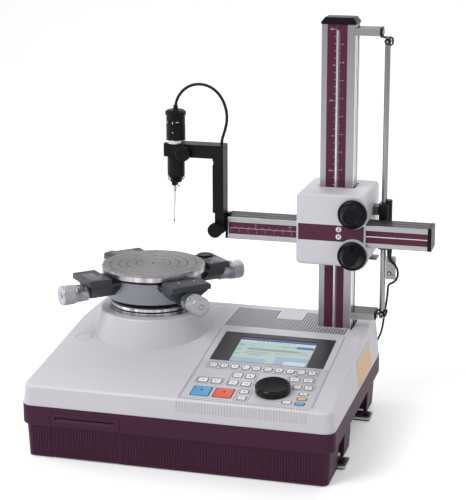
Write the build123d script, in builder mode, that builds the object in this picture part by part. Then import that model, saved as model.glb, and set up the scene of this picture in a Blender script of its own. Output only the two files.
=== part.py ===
from build123d import *
import os
from math import sin, cos, tan, atan, radians, degrees, pi, sqrt, acos, hypot

os.makedirs("parts", exist_ok=True)

# ---------------------------------------------------------------------------
# Roundness tester: rotating measuring table on a moulded base, column with a
# carriage and a cross arm that holds the detector. Millimetres, +Z up, front
# of the instrument towards -Y.
#
# The lengths below are measured from the table's axis of rotation, on the
# floor. TX, TY move that axis so that the origin is at the bottom centre of
# the whole instrument.
# ---------------------------------------------------------------------------
TX, TY = -142.0, 48.0

# base outline
BX0, BX1, BY0, BY1 = -120.0, 316.0, -221.0, 125.0
CORNER_R = 15.0
SEAM_Z = 76.0            # joint between the skirt and the cover
BAND_Z = 48.0            # bottom of the smooth band
SKIRT_Z = 1.5            # lowest edge of the skirt
SKIRT_IN = 4.5           # skirt stands back from the band at the top
SKIRT_DRAFT = 2.5        # and by this much more at the bottom
WALL = 3.0
RIB_PITCH = 3.9

# cover
DECK_Y, DECK_Z, DECK_K = -218.0, 104.5, 0.14   # sloping top: z = DECK_Z + DECK_K * (y - DECK_Y)
DECK_END_Y = 6.0
COVER_TOP_Z = 137.5
COVER_DRAFT = 6.0
BOSS_R, BOSS_Z = 78.0, 163.0
COVER_BORE_R = 64.0

# measuring table
FLANGE_R, FLANGE_Z0, FLANGE_Z1 = 62.5, 168.5, 177.7
COLLAR_R, COLLAR_Z = 63.5, 168.0
HOUSING_R, HOUSING_Z0, HOUSING_Z1 = 69.2, 181.0, 212.5
TABLE_R, TABLE_Z0, TABLE_Z1 = 75.0, 216.0, 225.5
PIVOT_Z = 209.0
KNOB_Z = 197.0
KNOB_R0, KNOB_R1 = 107.0, 147.0
SHAFT_R = 20.0
FIT = 0.05               # radial play of a running fit

# drive
MOTOR_X, MOTOR_Y = 70.0, -95.0
PULLEY_R, MOTOR_PULLEY_R = 30.0, 10.0

# column
CX0, CX1, CY0, CY1 = 237.0, 285.0, 41.0, 76.6
COL_Z0, COL_Z1, CAP_Z = 60.0, 575.0, 584.3
STRIP_X0, STRIP_X1 = 245.4, 273.7

# carriage
KX0, KX1, KY0, KY1 = 213.5, 312.5, -5.6, 88.0
KZ0, KZ1 = 241.4, 344.5
ZK_X, ZK_Z = 295.0, 319.0        # vertical drive knob
XK_X, XK_Z = 295.5, 259.5        # horizontal drive knob
PINION_R, MODULE, TEETH = 10.0, 1.0, 20

# arm
AX0, AX1, AY0, AY1 = 113.0, 398.7, -1.6, 35.0
AZ0, AZ1 = 270.4, 302.7

# detector
DX = 36.4                        # detector axis
ST_X, ST_Z = 34.5, 350.0         # stylus pivot

# scale rod
ROD_X, ROD_Y, ROD_R = 327.5, 58.0, 4.0

SLOPE = atan(DECK_K)


# reference planes -----------------------------------------------------------
def top(z, x=0.0, y=0.0):
    """Horizontal plane at height z, normal up."""
    return Plane(origin=(TX + x, TY + y, z))


def front(y, x=0.0, z=0.0):
    """Upright plane across the instrument, normal to the front; its y is height."""
    return Plane(origin=(TX + x, TY + y, z), x_dir=(1, 0, 0), z_dir=(0, -1, 0))


def side(x, y=0.0, z=0.0):
    """Upright plane along the instrument, normal to the right; x is depth, y is height."""
    return Plane(origin=(TX + x, TY + y, z), x_dir=(0, 1, 0), z_dir=(1, 0, 0))


def deck_z(y):
    return DECK_Z + DECK_K * (y - DECK_Y)


def deck(x, y, up=0.0):
    """Plane on the sloping deck at (x, y), raised by up along its normal."""
    n = (0, -sin(SLOPE), cos(SLOPE))
    return Plane(origin=(TX + x, TY + y + n[1] * up, deck_z(y) + n[2] * up), x_dir=(1, 0, 0), z_dir=n)


def spoke(angle, r, z=0.0, o=0.0):
    """Upright plane square to a spoke of the table: x runs along the rim, y is height, normal outwards."""
    a = radians(angle)
    return Plane(
        origin=(TX + r * cos(a) - o * sin(a), TY + r * sin(a) + o * cos(a), z),
        x_dir=(-sin(a), cos(a), 0), z_dir=(cos(a), sin(a), 0))


def block(plane, x0, x1, y0, y1, depth, mode=Mode.ADD, r=0.0):
    """Rectangular block on a plane, given by its edges there, with rounded corners r."""
    with BuildSketch(plane) as s:
        with Locations(((x0 + x1) / 2, (y0 + y1) / 2)):
            if r > 0:
                RectangleRounded(x1 - x0, y1 - y0, r)
            else:
                Rectangle(x1 - x0, y1 - y0)
    extrude(s.sketch, amount=depth, mode=mode)


def disc(plane, r, depth, mode=Mode.ADD):
    """Round block on a plane, centred on its origin."""
    with BuildSketch(plane) as s:
        Circle(r)
    extrude(s.sketch, amount=depth, mode=mode)


def prism(plane, points, depth, mode=Mode.ADD):
    """Straight-sided block on a plane, given by the corners of its outline."""
    with BuildSketch(plane) as s:
        with BuildLine():
            Polyline(*points, close=True)
        make_face()
    extrude(s.sketch, amount=depth, mode=mode)


def turned(points, x=0.0, y=0.0, mode=Mode.ADD):
    """Solid of revolution about the upright axis at (x, y), from (radius, height) corners."""
    with BuildSketch(front(y, x)) as s:
        with BuildLine():
            Polyline(*points, close=True)
        make_face()
    revolve(s.sketch, axis=Axis((TX + x, TY + y, 0), (0, 0, 1)), mode=mode)


def save(part, label):
    part.label = label
    export_step(part, "parts/" + label + ".step")


def comb(plane_x0, count, pitch, width, depth):
    """Corners of a row of tapered grooves, open towards -y of their plane, from plane_x0 on."""
    pts = [(plane_x0 - pitch / 2, -3.0)]
    for i in range(count):
        c = plane_x0 + i * pitch
        pts += [(c - width / 2, -3.0), (c - width / 2, 0.0), (c - width / 4, depth), (c + width / 4, depth),
                (c + width / 2, 0.0), (c + width / 2, -3.0)]
    return pts


# ---------------------------------------------------------------------------
# Base
# ---------------------------------------------------------------------------
bcx, bcy = (BX0 + BX1) / 2, (BY0 + BY1) / 2
bw, bd = BX1 - BX0, BY1 - BY0
POCKETS = ((-154.0, -110.0), (-70.0, 61.0))      # recesses in the side walls, over the tabs
TABS = ((-152.0, -119.0), (31.0, 59.0))
DOOR_X0, DOOR_X1, DOOR_Z0, DOOR_Z1 = -77.0, 22.5, 1.9, 69.0

with BuildPart() as base_skirt:
    # smooth band
    with BuildSketch(top(BAND_Z, bcx, bcy)):
        RectangleRounded(bw, bd, CORNER_R)
    extrude(amount=SEAM_Z - BAND_Z)
    fillet(base_skirt.faces().sort_by(Axis.Z)[0].edges(), radius=3.2)
    # ribbed skirt, drawn in below the band
    with BuildSketch(top(BAND_Z, bcx - 1.0, bcy)):
        RectangleRounded(bw - 2 * SKIRT_IN - 2.0, bd - 2 * SKIRT_IN, CORNER_R - 3)
    extrude(amount=-(BAND_Z - SKIRT_Z), taper=degrees(atan(SKIRT_DRAFT / (BAND_Z - SKIRT_Z))))
    # hollow inside
    block(top(SKIRT_Z - 1, bcx, bcy), -bw / 2 + 11.5, bw / 2 - 13.5, -bd / 2 + 11.0, bd / 2 - 11.0,
          BAND_Z - SKIRT_Z + 1 + 4.5, Mode.SUBTRACT, 8)
    block(top(BAND_Z + 4.0, bcx, bcy), -bw / 2 + WALL, bw / 2 - WALL, -bd / 2 + WALL, bd / 2 - WALL,
          40, Mode.SUBTRACT, CORNER_R - WALL)
    # recesses in both side walls, closed inwards by a thin wall
    for y0, y1 in POCKETS:
        block(top(7.0), 279.0, 303.5, y0 - 2, y1 + 2, 39.0)
        block(top(7.0), -109.5, -83.0, y0 - 2, y1 + 2, 39.0)
        block(top(0.0), 281.0, 320.0, y0, y1, 44.0, Mode.SUBTRACT)
        block(top(0.0), -124.0, -85.0, y0, y1, 44.0, Mode.SUBTRACT)
    # fine upright ribs across the front, following its draft
    rise = SKIRT_DRAFT / (BAND_Z - SKIRT_Z)
    with BuildSketch(top(BAND_Z - 3.0, 0, BY0 + SKIRT_IN + rise * 3.0)) as grooves:
        with BuildLine():
            Polyline(*comb(-106.6, 105, RIB_PITCH, 2.0, 0.8), (-106.6 + 104 * RIB_PITCH + 2, -5.0), (-110.0, -5.0), close=True)
        make_face()
    extrude(grooves.sketch, amount=40.5, dir=(0, rise, -1), mode=Mode.SUBTRACT)
    # opening for the printer door
    with BuildSketch(front(BY0 - 2)) as opening:
        with BuildLine():
            l1 = Polyline((DOOR_X0 - 0.4, 0), (DOOR_X0 - 0.4, DOOR_Z1 - 8))
            l2 = RadiusArc(l1 @ 1, (DOOR_X0 + 8, DOOR_Z1 + 0.4), 8.4)
            l3 = Polyline(l2 @ 1, (DOOR_X1 + 0.4, DOOR_Z1 + 0.4), (DOOR_X1 + 0.4, 0), l1 @ 0)
        make_face()
    extrude(opening.sketch, amount=-14, mode=Mode.SUBTRACT)
    # rear: inlet opening
    block(front(BY1 + 2), 197.8, 230.2, 9.8, 35.2, 10.8, Mode.SUBTRACT)
    block(front(BY1 + 2), 201.8, 226.2, 13.8, 31.2, 16, Mode.SUBTRACT)
save(base_skirt.part, "base_skirt")

with BuildPart() as printer_door:
    # section: smooth upper half in the band, ribbed lower half in the skirt
    rise = SKIRT_DRAFT / (BAND_Z - SKIRT_Z)
    with BuildSketch(side(DOOR_X0)) as sec:
        with BuildLine():
            Polyline((BY0, DOOR_Z1), (BY0, BAND_Z + 3.2), (BY0 + 1.1, BAND_Z + 1.0), (BY0 + 3.4, BAND_Z), (BY0 + SKIRT_IN, BAND_Z - 0.2),
                     (BY0 + SKIRT_IN + rise * (BAND_Z - DOOR_Z0), DOOR_Z0),
                     (BY0 + SKIRT_IN + rise * (BAND_Z - DOOR_Z0) + 2.6, DOOR_Z0),
                     (BY0 + SKIRT_IN + 2.6, BAND_Z + 3), (BY0 + SKIRT_IN, BAND_Z + 6),
                     (BY0 + 3.2, BAND_Z + 8), (BY0 + 3.2, DOOR_Z1), close=True)
        make_face()
    extrude(sec.sketch, amount=DOOR_X1 - DOOR_X0)
    # rounded upper left corner
    with BuildSketch(front(BY0 - 2)) as cut:
        with BuildLine():
            a1 = RadiusArc((DOOR_X0, DOOR_Z1 - 8), (DOOR_X0 + 8, DOOR_Z1), 8)
            a2 = Polyline(a1 @ 1, (DOOR_X0 - 4, DOOR_Z1 + 4), a1 @ 0)
        make_face()
    extrude(cut.sketch, amount=-14, mode=Mode.SUBTRACT)
    # paper exit with a ramp below it
    prism(side(-70.0), [(BY0 - 1, 62.4), (BY0 - 1, 56.4), (BY0, 56.4), (BY0 + 2.4, 60.2), (BY0 + 5, 60.2), (BY0 + 5, 61.8),
                        (BY0 + 1.4, 61.8), (BY0, 62.4)], 85.0, Mode.SUBTRACT)
    with BuildSketch(top(BAND_Z - 3.0, 0, BY0 + SKIRT_IN + rise * 3.0)) as grooves:
        with BuildLine():
            Polyline(*comb(-106.6 + 8 * RIB_PITCH, 25, RIB_PITCH, 2.0, 0.8), (-106.6 + 32 * RIB_PITCH + 2, -5.0),
                     (-106.6 + 8 * RIB_PITCH - 2, -5.0), close=True)
        make_face()
    extrude(grooves.sketch, amount=40.5, dir=(0, rise, -1), mode=Mode.SUBTRACT)
save(printer_door.part, "printer_door")

with BuildPart() as printer_unit:
    block(top(12.0), -72.0, 17.0, -206.0, -153.0, 54.0)
    # paper roll bay, open to the front
    with BuildSketch(side(-64.0)) as bay:
        with Locations((-182.0, 36.0)):
            Circle(17.0)
        with Locations((-200.0, 36.0)):
            Rectangle(36.0, 26.0)
    extrude(bay.sketch, amount=73.0, mode=Mode.SUBTRACT)
    # print head bar and drive roller shaft
    disc(side(-68.0, -198.0, 59.0), 3.0, 81.0)
save(printer_unit.part, "printer_unit")

with BuildPart() as bed_casting:
    block(top(28.0), -81.0, 276.0, -160.0, 92.0, 10.0, r=6)
    block(top(27.0), -80.0, 26.0, -170.0, -143.0, 12.0, Mode.SUBTRACT)      # room for the printer
    for y0, y1 in TABS:
        for x0, x1 in ((253.0, 276.0), (-80.0, -57.0)):
            block(top(5.5), x0, x1, y0, y1, 23.0, r=4)
    # stiffening ribs under the plate
    for x in (-40.0, 110.0, 180.0, 230.0):
        block(top(18.0), x, x + 6, 50.0, 90.0, 10.5)
    # foot of the column
    block(top(38.0), 228.0, 276.0, 34.0, 84.0, COL_Z0 - 38.0, r=3)
    block(top(46.0), 270.0, 294.0, 38.0, 80.0, COL_Z0 - 46.0)
    disc(top(20.0), 31.0, 30.0, Mode.SUBTRACT)
    disc(top(20.0, MOTOR_X, MOTOR_Y), 8.0, 30.0, Mode.SUBTRACT)
save(bed_casting.part, "bed_casting")

with BuildPart() as hold_down_tabs:
    for y0, y1 in TABS:
        block(top(2.5), 253.0, 318.0, y0, y1, 3.0, r=3)
        block(top(2.5), BX0, -57.0, y0, y1, 3.0, r=3)
    for x in (311.5, -113.5):
        for y0, y1 in TABS:
            disc(top(0.0, x, (y0 + y1) / 2), 2.6, 10.0, Mode.SUBTRACT)
save(hold_down_tabs.part, "hold_down_tabs")

with BuildPart() as tab_bolts:
    for x in (311.5, -113.5):
        for y0, y1 in TABS:
            c = (y0 + y1) / 2
            disc(top(2.6, x, c), 2.5, 3.0)
            disc(top(5.5, x, c), 4.6, 3.2)
            with BuildSketch(top(6.7, x, c)) as hexagon:
                RegularPolygon(2.3, 6)
            extrude(hexagon.sketch, amount=3.0, mode=Mode.SUBTRACT)
save(tab_bolts.part, "tab_bolts")

with BuildPart() as feet:
    for y0, y1 in TABS:
        block(top(0.0), 256.0, 316.5, y0 + 1.5, y1 - 1.5, 2.5, r=3)
        block(top(0.0), -118.5, -60.0, y0 + 1.5, y1 - 1.5, 2.5, r=3)
    for x in (311.5, -113.5):
        for y0, y1 in TABS:
            disc(top(0.0, x, (y0 + y1) / 2), 4.0, 2.6, Mode.SUBTRACT)
save(feet.part, "feet")

with BuildPart() as power_inlet:
    block(front(118.2), 198.0, 230.0, 10.0, 35.0, 2.0, r=2)
    block(front(116.4), 202.0, 226.0, 14.0, 31.0, 22.0)
    block(front(119.0), 204.5, 223.5, 16.5, 28.5, 16.0, Mode.SUBTRACT, 2)
    for dx, dz in ((-5.0, 0.0), (5.0, 0.0), (0.0, 3.0)):
        block(front(116.0), 214.0 + dx - 1.0, 214.0 + dx + 1.0, 22.5 + dz - 2.2, 22.5 + dz + 2.2, 14.0)
save(power_inlet.part, "power_inlet")

with BuildPart() as control_board:
    block(top(46.0), 92.0, 222.0, -60.0, 96.0, 1.6, r=2)
    for x in (97.0, 217.0):
        for y in (-55.0, 91.0):
            disc(top(38.0, x, y), 3.5, 8.1)
    block(top(47.5), 110.0, 138.0, 10.0, 38.0, 3.0)
    block(top(47.5), 160.0, 196.0, -40.0, 0.0, 22.0)
    block(top(47.5), 112.0, 190.0, 70.0, 82.0, 11.0)
    for x in (150.0, 166.0, 182.0):
        disc(top(47.5, x, 50.0), 6.0, 18.0)
save(control_board.part, "control_board")

# ---------------------------------------------------------------------------
# Cover
# ---------------------------------------------------------------------------
def cover_profile(drop, y_front, y_rear):
    """Side view of the cover's top, lowered by drop: slope, bend, nearly level rear."""
    z_end = deck_z(DECK_END_Y)
    bottom = SEAM_Z - (1.0 if drop > 0 else 0.0)
    with BuildSketch(side(BX0 - 10)) as s:
        with BuildLine():
            p1 = (y_front, deck_z(y_front) - drop)
            p2 = (DECK_END_Y, z_end - drop)
            p3 = (y_rear, COVER_TOP_Z + 0.1 - drop)
            FilletPolyline((y_front, bottom), p1, p2, p3, (y_rear, bottom), radius=[0.01, 90.0, 0.01], close=False)
            Line((y_rear, bottom), (y_front, bottom))
        make_face()
    return s.sketch


with BuildPart() as top_cover:
    with BuildSketch(top(SEAM_Z, bcx, bcy)):
        RectangleRounded(bw - 1.0, bd - 1.0, CORNER_R)
    extrude(amount=75.0, taper=COVER_DRAFT)
    extrude(cover_profile(0.0, BY0 - 20, BY1 + 20), amount=bw + 20, mode=Mode.INTERSECT)
    upper = [e for e in top_cover.edges() if e.center().Z > 98.0 and e.bounding_box().size.X + e.bounding_box().size.Y > 3.0]
    keep = []
    for e in upper:
        c = e.center()
        inner = (TX + BX0 + 16 < c.X < TX + BX1 - 16) and (TY + BY0 + 16 < c.Y < TY + BY1 - 16)
        if not inner:
            keep.append(e)
    try:
        fillet(keep, radius=5.0)
    except Exception as err:
        print("cover fillet failed", err, len(keep))
    # boss round the table
    turned([(0.0, 84.0), (103.0, 84.0), (BOSS_R + 0.6, BOSS_Z - 2.6), (BOSS_R - 0.4, BOSS_Z - 0.8), (BOSS_R - 2.4, BOSS_Z), (0.0, BOSS_Z)])
    # hollow: the same form, one wall thickness inside
    with BuildSketch(top(SEAM_Z - 1, bcx, bcy)) as inner_plan:
        RectangleRounded(bw - 1.0 - 2 * WALL, bd - 1.0 - 2 * WALL, CORNER_R - WALL)
    core = extrude(inner_plan.sketch, amount=75.0, taper=COVER_DRAFT, mode=Mode.PRIVATE)
    roof = extrude(cover_profile(WALL, BY0 - 20, BY1 + 20), amount=bw + 20, mode=Mode.PRIVATE)
    add(core.intersect(roof), mode=Mode.SUBTRACT)
    turned([(0.0, 80.0), (100.6, 80.0), (BOSS_R - 2.4, BOSS_Z - 3.4), (BOSS_R - 4.0, BOSS_Z - WALL), (0.0, BOSS_Z - WALL)], mode=Mode.SUBTRACT)
    disc(top(140.0), COVER_BORE_R, 40.0, Mode.SUBTRACT)
    # passage for the column, with the slit beside it
    block(top(120.0), CX0 - 0.4, CX1 + 2.4, CY0 - 0.3, 84.0, 40.0, Mode.SUBTRACT)
    block(top(120.0), CX1 + 0.2, CX1 + 2.4, 36.0, CY0, 40.0, Mode.SUBTRACT)
    # seats for the screen and the key sheet
    block(deck(0, DECK_Y, -1.7), 113.0, 275.0, 119.2 / cos(SLOPE), 209.2 / cos(SLOPE), 4.0, Mode.SUBTRACT, 1.5)
    block(deck(0, DECK_Y, -6), 118.0, 270.0, (124.0) / cos(SLOPE), (204.5) / cos(SLOPE), 8.0, Mode.SUBTRACT, 1.5)
    block(deck(0, DECK_Y, -0.6), 104.6, 282.8, 8.6, 118.0, 4.0, Mode.SUBTRACT, 3)
    # narrow side grooves of the console
    block(deck(0, DECK_Y, -0.9), 102.5, 103.6, 8.0, 217.0, 3.0, Mode.SUBTRACT)
    block(deck(0, DECK_Y, -0.9), 283.9, 285.0, 8.0, 222.0, 3.0, Mode.SUBTRACT)
    # row of small holes along the front of the console
    with BuildSketch(deck(0, DECK_Y, -1.2)) as dots:
        with Locations(*[(105.0 + RIB_PITCH * i, 4.4) for i in range(46)]):
            Circle(0.7)
    extrude(dots.sketch, amount=4.0, mode=Mode.SUBTRACT)
    # opening for the dial's spindle
    disc(deck(223.0, -174.0, -8.0), 4.5, 12.0, Mode.SUBTRACT)
    # flutes behind the screen: long on the left, shorter round the smooth field and the column
    rear_k = (COVER_TOP_Z + 0.1 - deck_z(DECK_END_Y)) / (BY1 + 20 - DECK_END_Y)
    for x_from, count, y0, y1 in ((105.0, 17, 12.0, 98.0), (105.0 + 17 * RIB_PITCH, 10, 12.0, 62.0),
                                  (105.0 + 27 * RIB_PITCH, 7, 12.0, 98.0), (105.0 + 34 * RIB_PITCH, 12, 12.0, 38.5)):
        z0 = deck_z(DECK_END_Y) + rear_k * (y0 - DECK_END_Y)
        with BuildSketch(Plane(origin=(TX, TY + y0, z0), x_dir=(1, 0, 0), z_dir=(0, 1, rear_k))) as fl:
            with BuildLine():
                Polyline(*[(x, -y) for x, y in comb(x_from, count, RIB_PITCH, 2.1, 0.7)],
                         (x_from + (count - 1) * RIB_PITCH + 2, 5.0), (x_from - 2, 5.0), close=True)
            make_face()
        extrude(fl.sketch, amount=y1 - y0, mode=Mode.SUBTRACT)
    # flutes on the front wall below the console
    with BuildSketch(top(87.6, 0, BY0 + 0.5 + (87.6 - SEAM_Z) * tan(radians(COVER_DRAFT)))) as ff:
        with BuildLine():
            Polyline(*comb(103.0, 46, RIB_PITCH, 2.1, 0.7), (103.0 + 45 * RIB_PITCH + 2, -5.0), (101.0, -5.0), close=True)
        make_face()
    extrude(ff.sketch, amount=14.5, dir=(0, tan(radians(COVER_DRAFT)), 1), mode=Mode.SUBTRACT)
    # blind seats of the two round plugs
    for x, y in ((-85.4, -64.3), (72.6, 94.0)):
        if y < DECK_END_Y:
            pl = deck(x, y)
        else:
            pl = Plane(origin=(TX + x, TY + y, deck_z(DECK_END_Y) + rear_k * (y - DECK_END_Y)), z_dir=(0, -rear_k, 1))
        with BuildSketch(pl) as ring:
            Circle(12.0)
            Circle(11.3, mode=Mode.SUBTRACT)
        extrude(ring.sketch, amount=-0.8, mode=Mode.SUBTRACT)
save(top_cover.part, "top_cover")
print("cover", top_cover.part.volume, top_cover.part.is_valid, len(top_cover.part.solids()))

with BuildPart() as display_panel:
    block(deck(0, DECK_Y, -0.3), 113.3, 274.7, 119.5 / cos(SLOPE), 208.9 / cos(SLOPE), -1.4, r=1.2)
    block(deck(0, DECK_Y, -1.6), 119.0, 269.0, 125.0 / cos(SLOPE), 203.5 / cos(SLOPE), -10.0)
    block(deck(0, DECK_Y, -0.8), 140.5, 250.5, 121.0 / cos(SLOPE), 198.0 / cos(SLOPE), 2.0, Mode.SUBTRACT)
save(display_panel.part, "display_panel")

KEYS = [(x, -114.0, 12.8, 13.0) for x in (123.8, 139.3, 154.5, 170.1, 185.1, 201.4, 216.7, 232.7, 247.9, 263.0)]
KEYS += [(165.2, -138.0, 14.0, 14.0), (182.7, -138.0, 14.0, 14.0), (122.0, -159.0, 15.0, 13.0), (141.0, -159.0, 15.0, 13.0),
         (164.4, -160.0, 14.0, 13.0), (182.5, -160.0, 14.0, 13.0), (186.0, -182.0, 13.0, 11.0), (186.8, -199.0, 13.0, 11.0),
         (243.9, -136.0, 15.0, 11.0), (262.6, -135.5, 15.0, 11.0), (252.3, -156.0, 12.0, 11.0), (267.3, -156.0, 12.0, 11.0),
         (264.6, -173.5, 13.0, 8.5), (265.5, -187.0, 14.0, 9.5), (265.6, -200.4, 14.0, 9.5), (247.8, -199.4, 13.5, 9.5),
         (128.7, -190.0, 26.6, 27.0), (159.6, -190.1, 26.6, 26.7)]
with BuildPart() as keypad_overlay:
    block(deck(0, DECK_Y, -0.6), 104.9, 282.5, 8.9, 117.7, 0.6, r=2.8)
    for x, y, w, d in KEYS:
        block(deck(0, DECK_Y, -0.1), x - w / 2, x + w / 2, (y - d / 2 - DECK_Y) / cos(SLOPE), (y + d / 2 - DECK_Y) / cos(SLOPE), 0.8, r=1.6)
    disc(deck(223.0, -174.0, -1.0), 4.6, 3.0, Mode.SUBTRACT)
save(keypad_overlay.part, "keypad_overlay")

with BuildPart() as jog_dial:
    disc(deck(223.0, -174.0, 0.5), 23.8, 11.0)
    chamfer(jog_dial.edges().sort_by(Axis.Z)[-1:], length=1.6)
    disc(deck(223.0, -174.0, -14.0), 4.1, 14.6)
    disc(deck(223.0 - 3.0, -159.8, 9.9), 4.2, 3.0, Mode.SUBTRACT)
save(jog_dial.part, "jog_dial")

with BuildPart() as dial_encoder:
    block(deck(223.0, -174.0, -20.0), -13, 13, -13, 13, 15.0, r=2)
    disc(deck(223.0, -174.0, -16.0), 4.15, 12.0, Mode.SUBTRACT)
save(dial_encoder.part, "dial_encoder")

# ---------------------------------------------------------------------------
# Spindle and drive
# ---------------------------------------------------------------------------
with BuildPart() as spindle_housing:
    turned([(30.0, 38.0), (72.0, 38.0), (72.0, 48.0), (50.0, 56.0), (50.0, 144.0), (COLLAR_R, 151.0), (COLLAR_R, COLLAR_Z - 0.8),
            (COLLAR_R - 0.8, COLLAR_Z), (30.0, COLLAR_Z)])
    with BuildSketch(top(38.0)) as bolts:
        with PolarLocations(64.0, 6):
            Circle(3.3)
    extrude(bolts.sketch, amount=20.0, mode=Mode.SUBTRACT)
save(spindle_housing.part, "spindle_housing")

with BuildPart() as spindle_bearings:
    for z in (60.0, 140.0):
        turned([(SHAFT_R + FIT, z), (30.0, z), (30.0, z + 16), (SHAFT_R + FIT, z + 16)])
        turned([(23.5, z - 1), (26.5, z - 1), (26.5, z + 1.2), (23.5, z + 1.2)], mode=Mode.SUBTRACT)
        turned([(23.5, z + 14.8), (26.5, z + 14.8), (26.5, z + 17), (23.5, z + 17)], mode=Mode.SUBTRACT)
save(spindle_bearings.part, "spindle_bearings")

with BuildPart() as spindle_shaft:
    turned([(0.0, 8.0), (12.0, 8.0), (12.0, 22.0), (SHAFT_R, 22.0), (SHAFT_R, FLANGE_Z0), (FLANGE_R - 0.6, FLANGE_Z0), (FLANGE_R, FLANGE_Z0 + 0.6),
            (FLANGE_R, 173.4), (FLANGE_R - 0.7, 173.7), (FLANGE_R - 0.7, 174.3), (FLANGE_R, 174.6), (FLANGE_R, FLANGE_Z1 - 0.8), (FLANGE_R - 0.8, FLANGE_Z1), (0.0, FLANGE_Z1)])
    # key for the lower cross slide
    with BuildSketch(spoke(-45, -45.0, FLANGE_Z1 - 0.5)) as key:
        with Locations((0, 1.5)):
            Rectangle(20.0, 3.0)
    extrude(key.sketch, amount=90.0)
save(spindle_shaft.part, "spindle_shaft")

with BuildPart() as spindle_pulley:
    turned([(12.0, 9.0), (32.0, 9.0), (32.0, 10.6), (PULLEY_R, 10.6), (PULLEY_R, 19.4), (32.0, 19.4), (32.0, 21.0), (12.0, 21.0)])
    with BuildSketch(top(8.0)) as lighten:
        with PolarLocations(21.0, 6):
            Circle(5.0)
    extrude(lighten.sketch, amount=15.0, mode=Mode.SUBTRACT)
save(spindle_pulley.part, "spindle_pulley")

with BuildPart() as motor_pulley:
    turned([(0.0, 9.0), (12.0, 9.0), (12.0, 10.6), (MOTOR_PULLEY_R, 10.6), (MOTOR_PULLEY_R, 19.4), (12.0, 19.4), (12.0, 21.0), (6.0, 21.0),
            (6.0, 24.0), (3.0, 24.0), (3.0, 60.0), (0.0, 60.0)], MOTOR_X, MOTOR_Y)
save(motor_pulley.part, "motor_pulley")

with BuildPart() as drive_motor:
    block(top(38.0, MOTOR_X, MOTOR_Y), -29.0, 29.0, -29.0, 29.0, 6.0, r=4)
    turned([(0.0, 44.0), (27.0, 44.0), (27.0, 80.0), (25.0, 82.0), (0.0, 82.0)], MOTOR_X, MOTOR_Y)
    disc(top(30.0, MOTOR_X, MOTOR_Y), 3.0 + FIT, 31.0, Mode.SUBTRACT)
    with BuildSketch(top(38.0, MOTOR_X, MOTOR_Y)) as screws:
        with GridLocations(47.0, 47.0, 2, 2):
            Circle(2.2)
    extrude(screws.sketch, amount=6.0, mode=Mode.SUBTRACT)
save(drive_motor.part, "drive_motor")

with BuildPart() as drive_belt:
    dist = hypot(MOTOR_X, MOTOR_Y)
    heading = degrees(atan(MOTOR_Y / MOTOR_X))
    plane = Plane(origin=(TX, TY, 11.2), x_dir=(cos(radians(heading)), sin(radians(heading)), 0), z_dir=(0, 0, 1))
    outlines = []
    for grow in (1.6, 0.35):
        ra, rb = PULLEY_R + grow, MOTOR_PULLEY_R + grow
        b = acos((ra - rb) / dist)
        with BuildSketch(plane) as loop:
            with BuildLine():
                m1 = ThreePointArc((ra * cos(b), ra * sin(b)), (-ra, 0), (ra * cos(b), -ra * sin(b)))
                m2 = Line(m1 @ 1, (dist + rb * cos(b), -rb * sin(b)))
                m3 = ThreePointArc(m2 @ 1, (dist + rb, 0), (dist + rb * cos(b), rb * sin(b)))
                Line(m3 @ 1, m1 @ 0)
            make_face()
        extrude(loop.sketch, amount=7.6, mode=Mode.ADD if grow > 1 else Mode.SUBTRACT)
save(drive_belt.part, "drive_belt")

# ---------------------------------------------------------------------------
# Measuring table
# ---------------------------------------------------------------------------
with BuildPart() as cross_slide:
    turned([(0.0, 178.0), (57.5, 178.0), (58.0, 178.5), (58.0, 186.5), (57.5, 187.0), (0.0, 187.0)])
    with BuildSketch(spoke(-45, -60.0, 177.0)) as way:
        with Locations((0, 2.0)):
            Rectangle(20.1, 4.4)
    extrude(way.sketch, amount=120.0, mode=Mode.SUBTRACT)
    with BuildSketch(spoke(45, -45.0, 186.5)) as key:
        with Locations((0, 1.5)):
            Rectangle(20.0, 3.0)
    extrude(key.sketch, amount=90.0)
save(cross_slide.part, "cross_slide")

AXIS_A, AXIS_B = -45.0, 45.0       # tilt axes: the left screw tilts about A, the rear left one about B
with BuildPart() as table_housing:
    turned([(0.0, 187.3), (62.8, 187.3), (62.8, HOUSING_Z0), (HOUSING_R - 0.8, HOUSING_Z0), (HOUSING_R, HOUSING_Z0 + 0.8), (HOUSING_R, HOUSING_Z1 - 1.0),
            (HOUSING_R - 1.0, HOUSING_Z1), (63.0, HOUSING_Z1), (63.0, 193.0), (0.0, 193.0)])
    with BuildSketch(spoke(45, -62.0, 186.0)) as way:
        with Locations((0, 2.0)):
            Rectangle(20.1, 4.4)
    extrude(way.sketch, amount=124.0, mode=Mode.SUBTRACT)
    for a in (AXIS_A, AXIS_A + 180):
        disc(spoke(a, 60.0, PIVOT_Z), 2.0 + FIT, 5.2, Mode.SUBTRACT)
    # clearance holes for the screws' spindles
    for a in (-45, 45, 135, -135):
        with BuildSketch(spoke(a, 58.0, KNOB_Z)) as hole:
            Circle(3.3)
        extrude(hole.sketch, amount=20.0, mode=Mode.SUBTRACT)
save(table_housing.part, "table_housing")

with BuildPart() as gimbal_ring:
    turned([(51.0, 203.0), (61.5, 203.0), (61.5, 214.0), (51.0, 214.0)])
    for a in (AXIS_A, AXIS_A + 180):
        disc(spoke(a, 60.0, PIVOT_Z), 2.0, 4.6)
    for a in (AXIS_B, AXIS_B + 180):
        disc(spoke(a, 46.0, PIVOT_Z), 2.0, 6.0)
save(gimbal_ring.part, "gimbal_ring")

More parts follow.
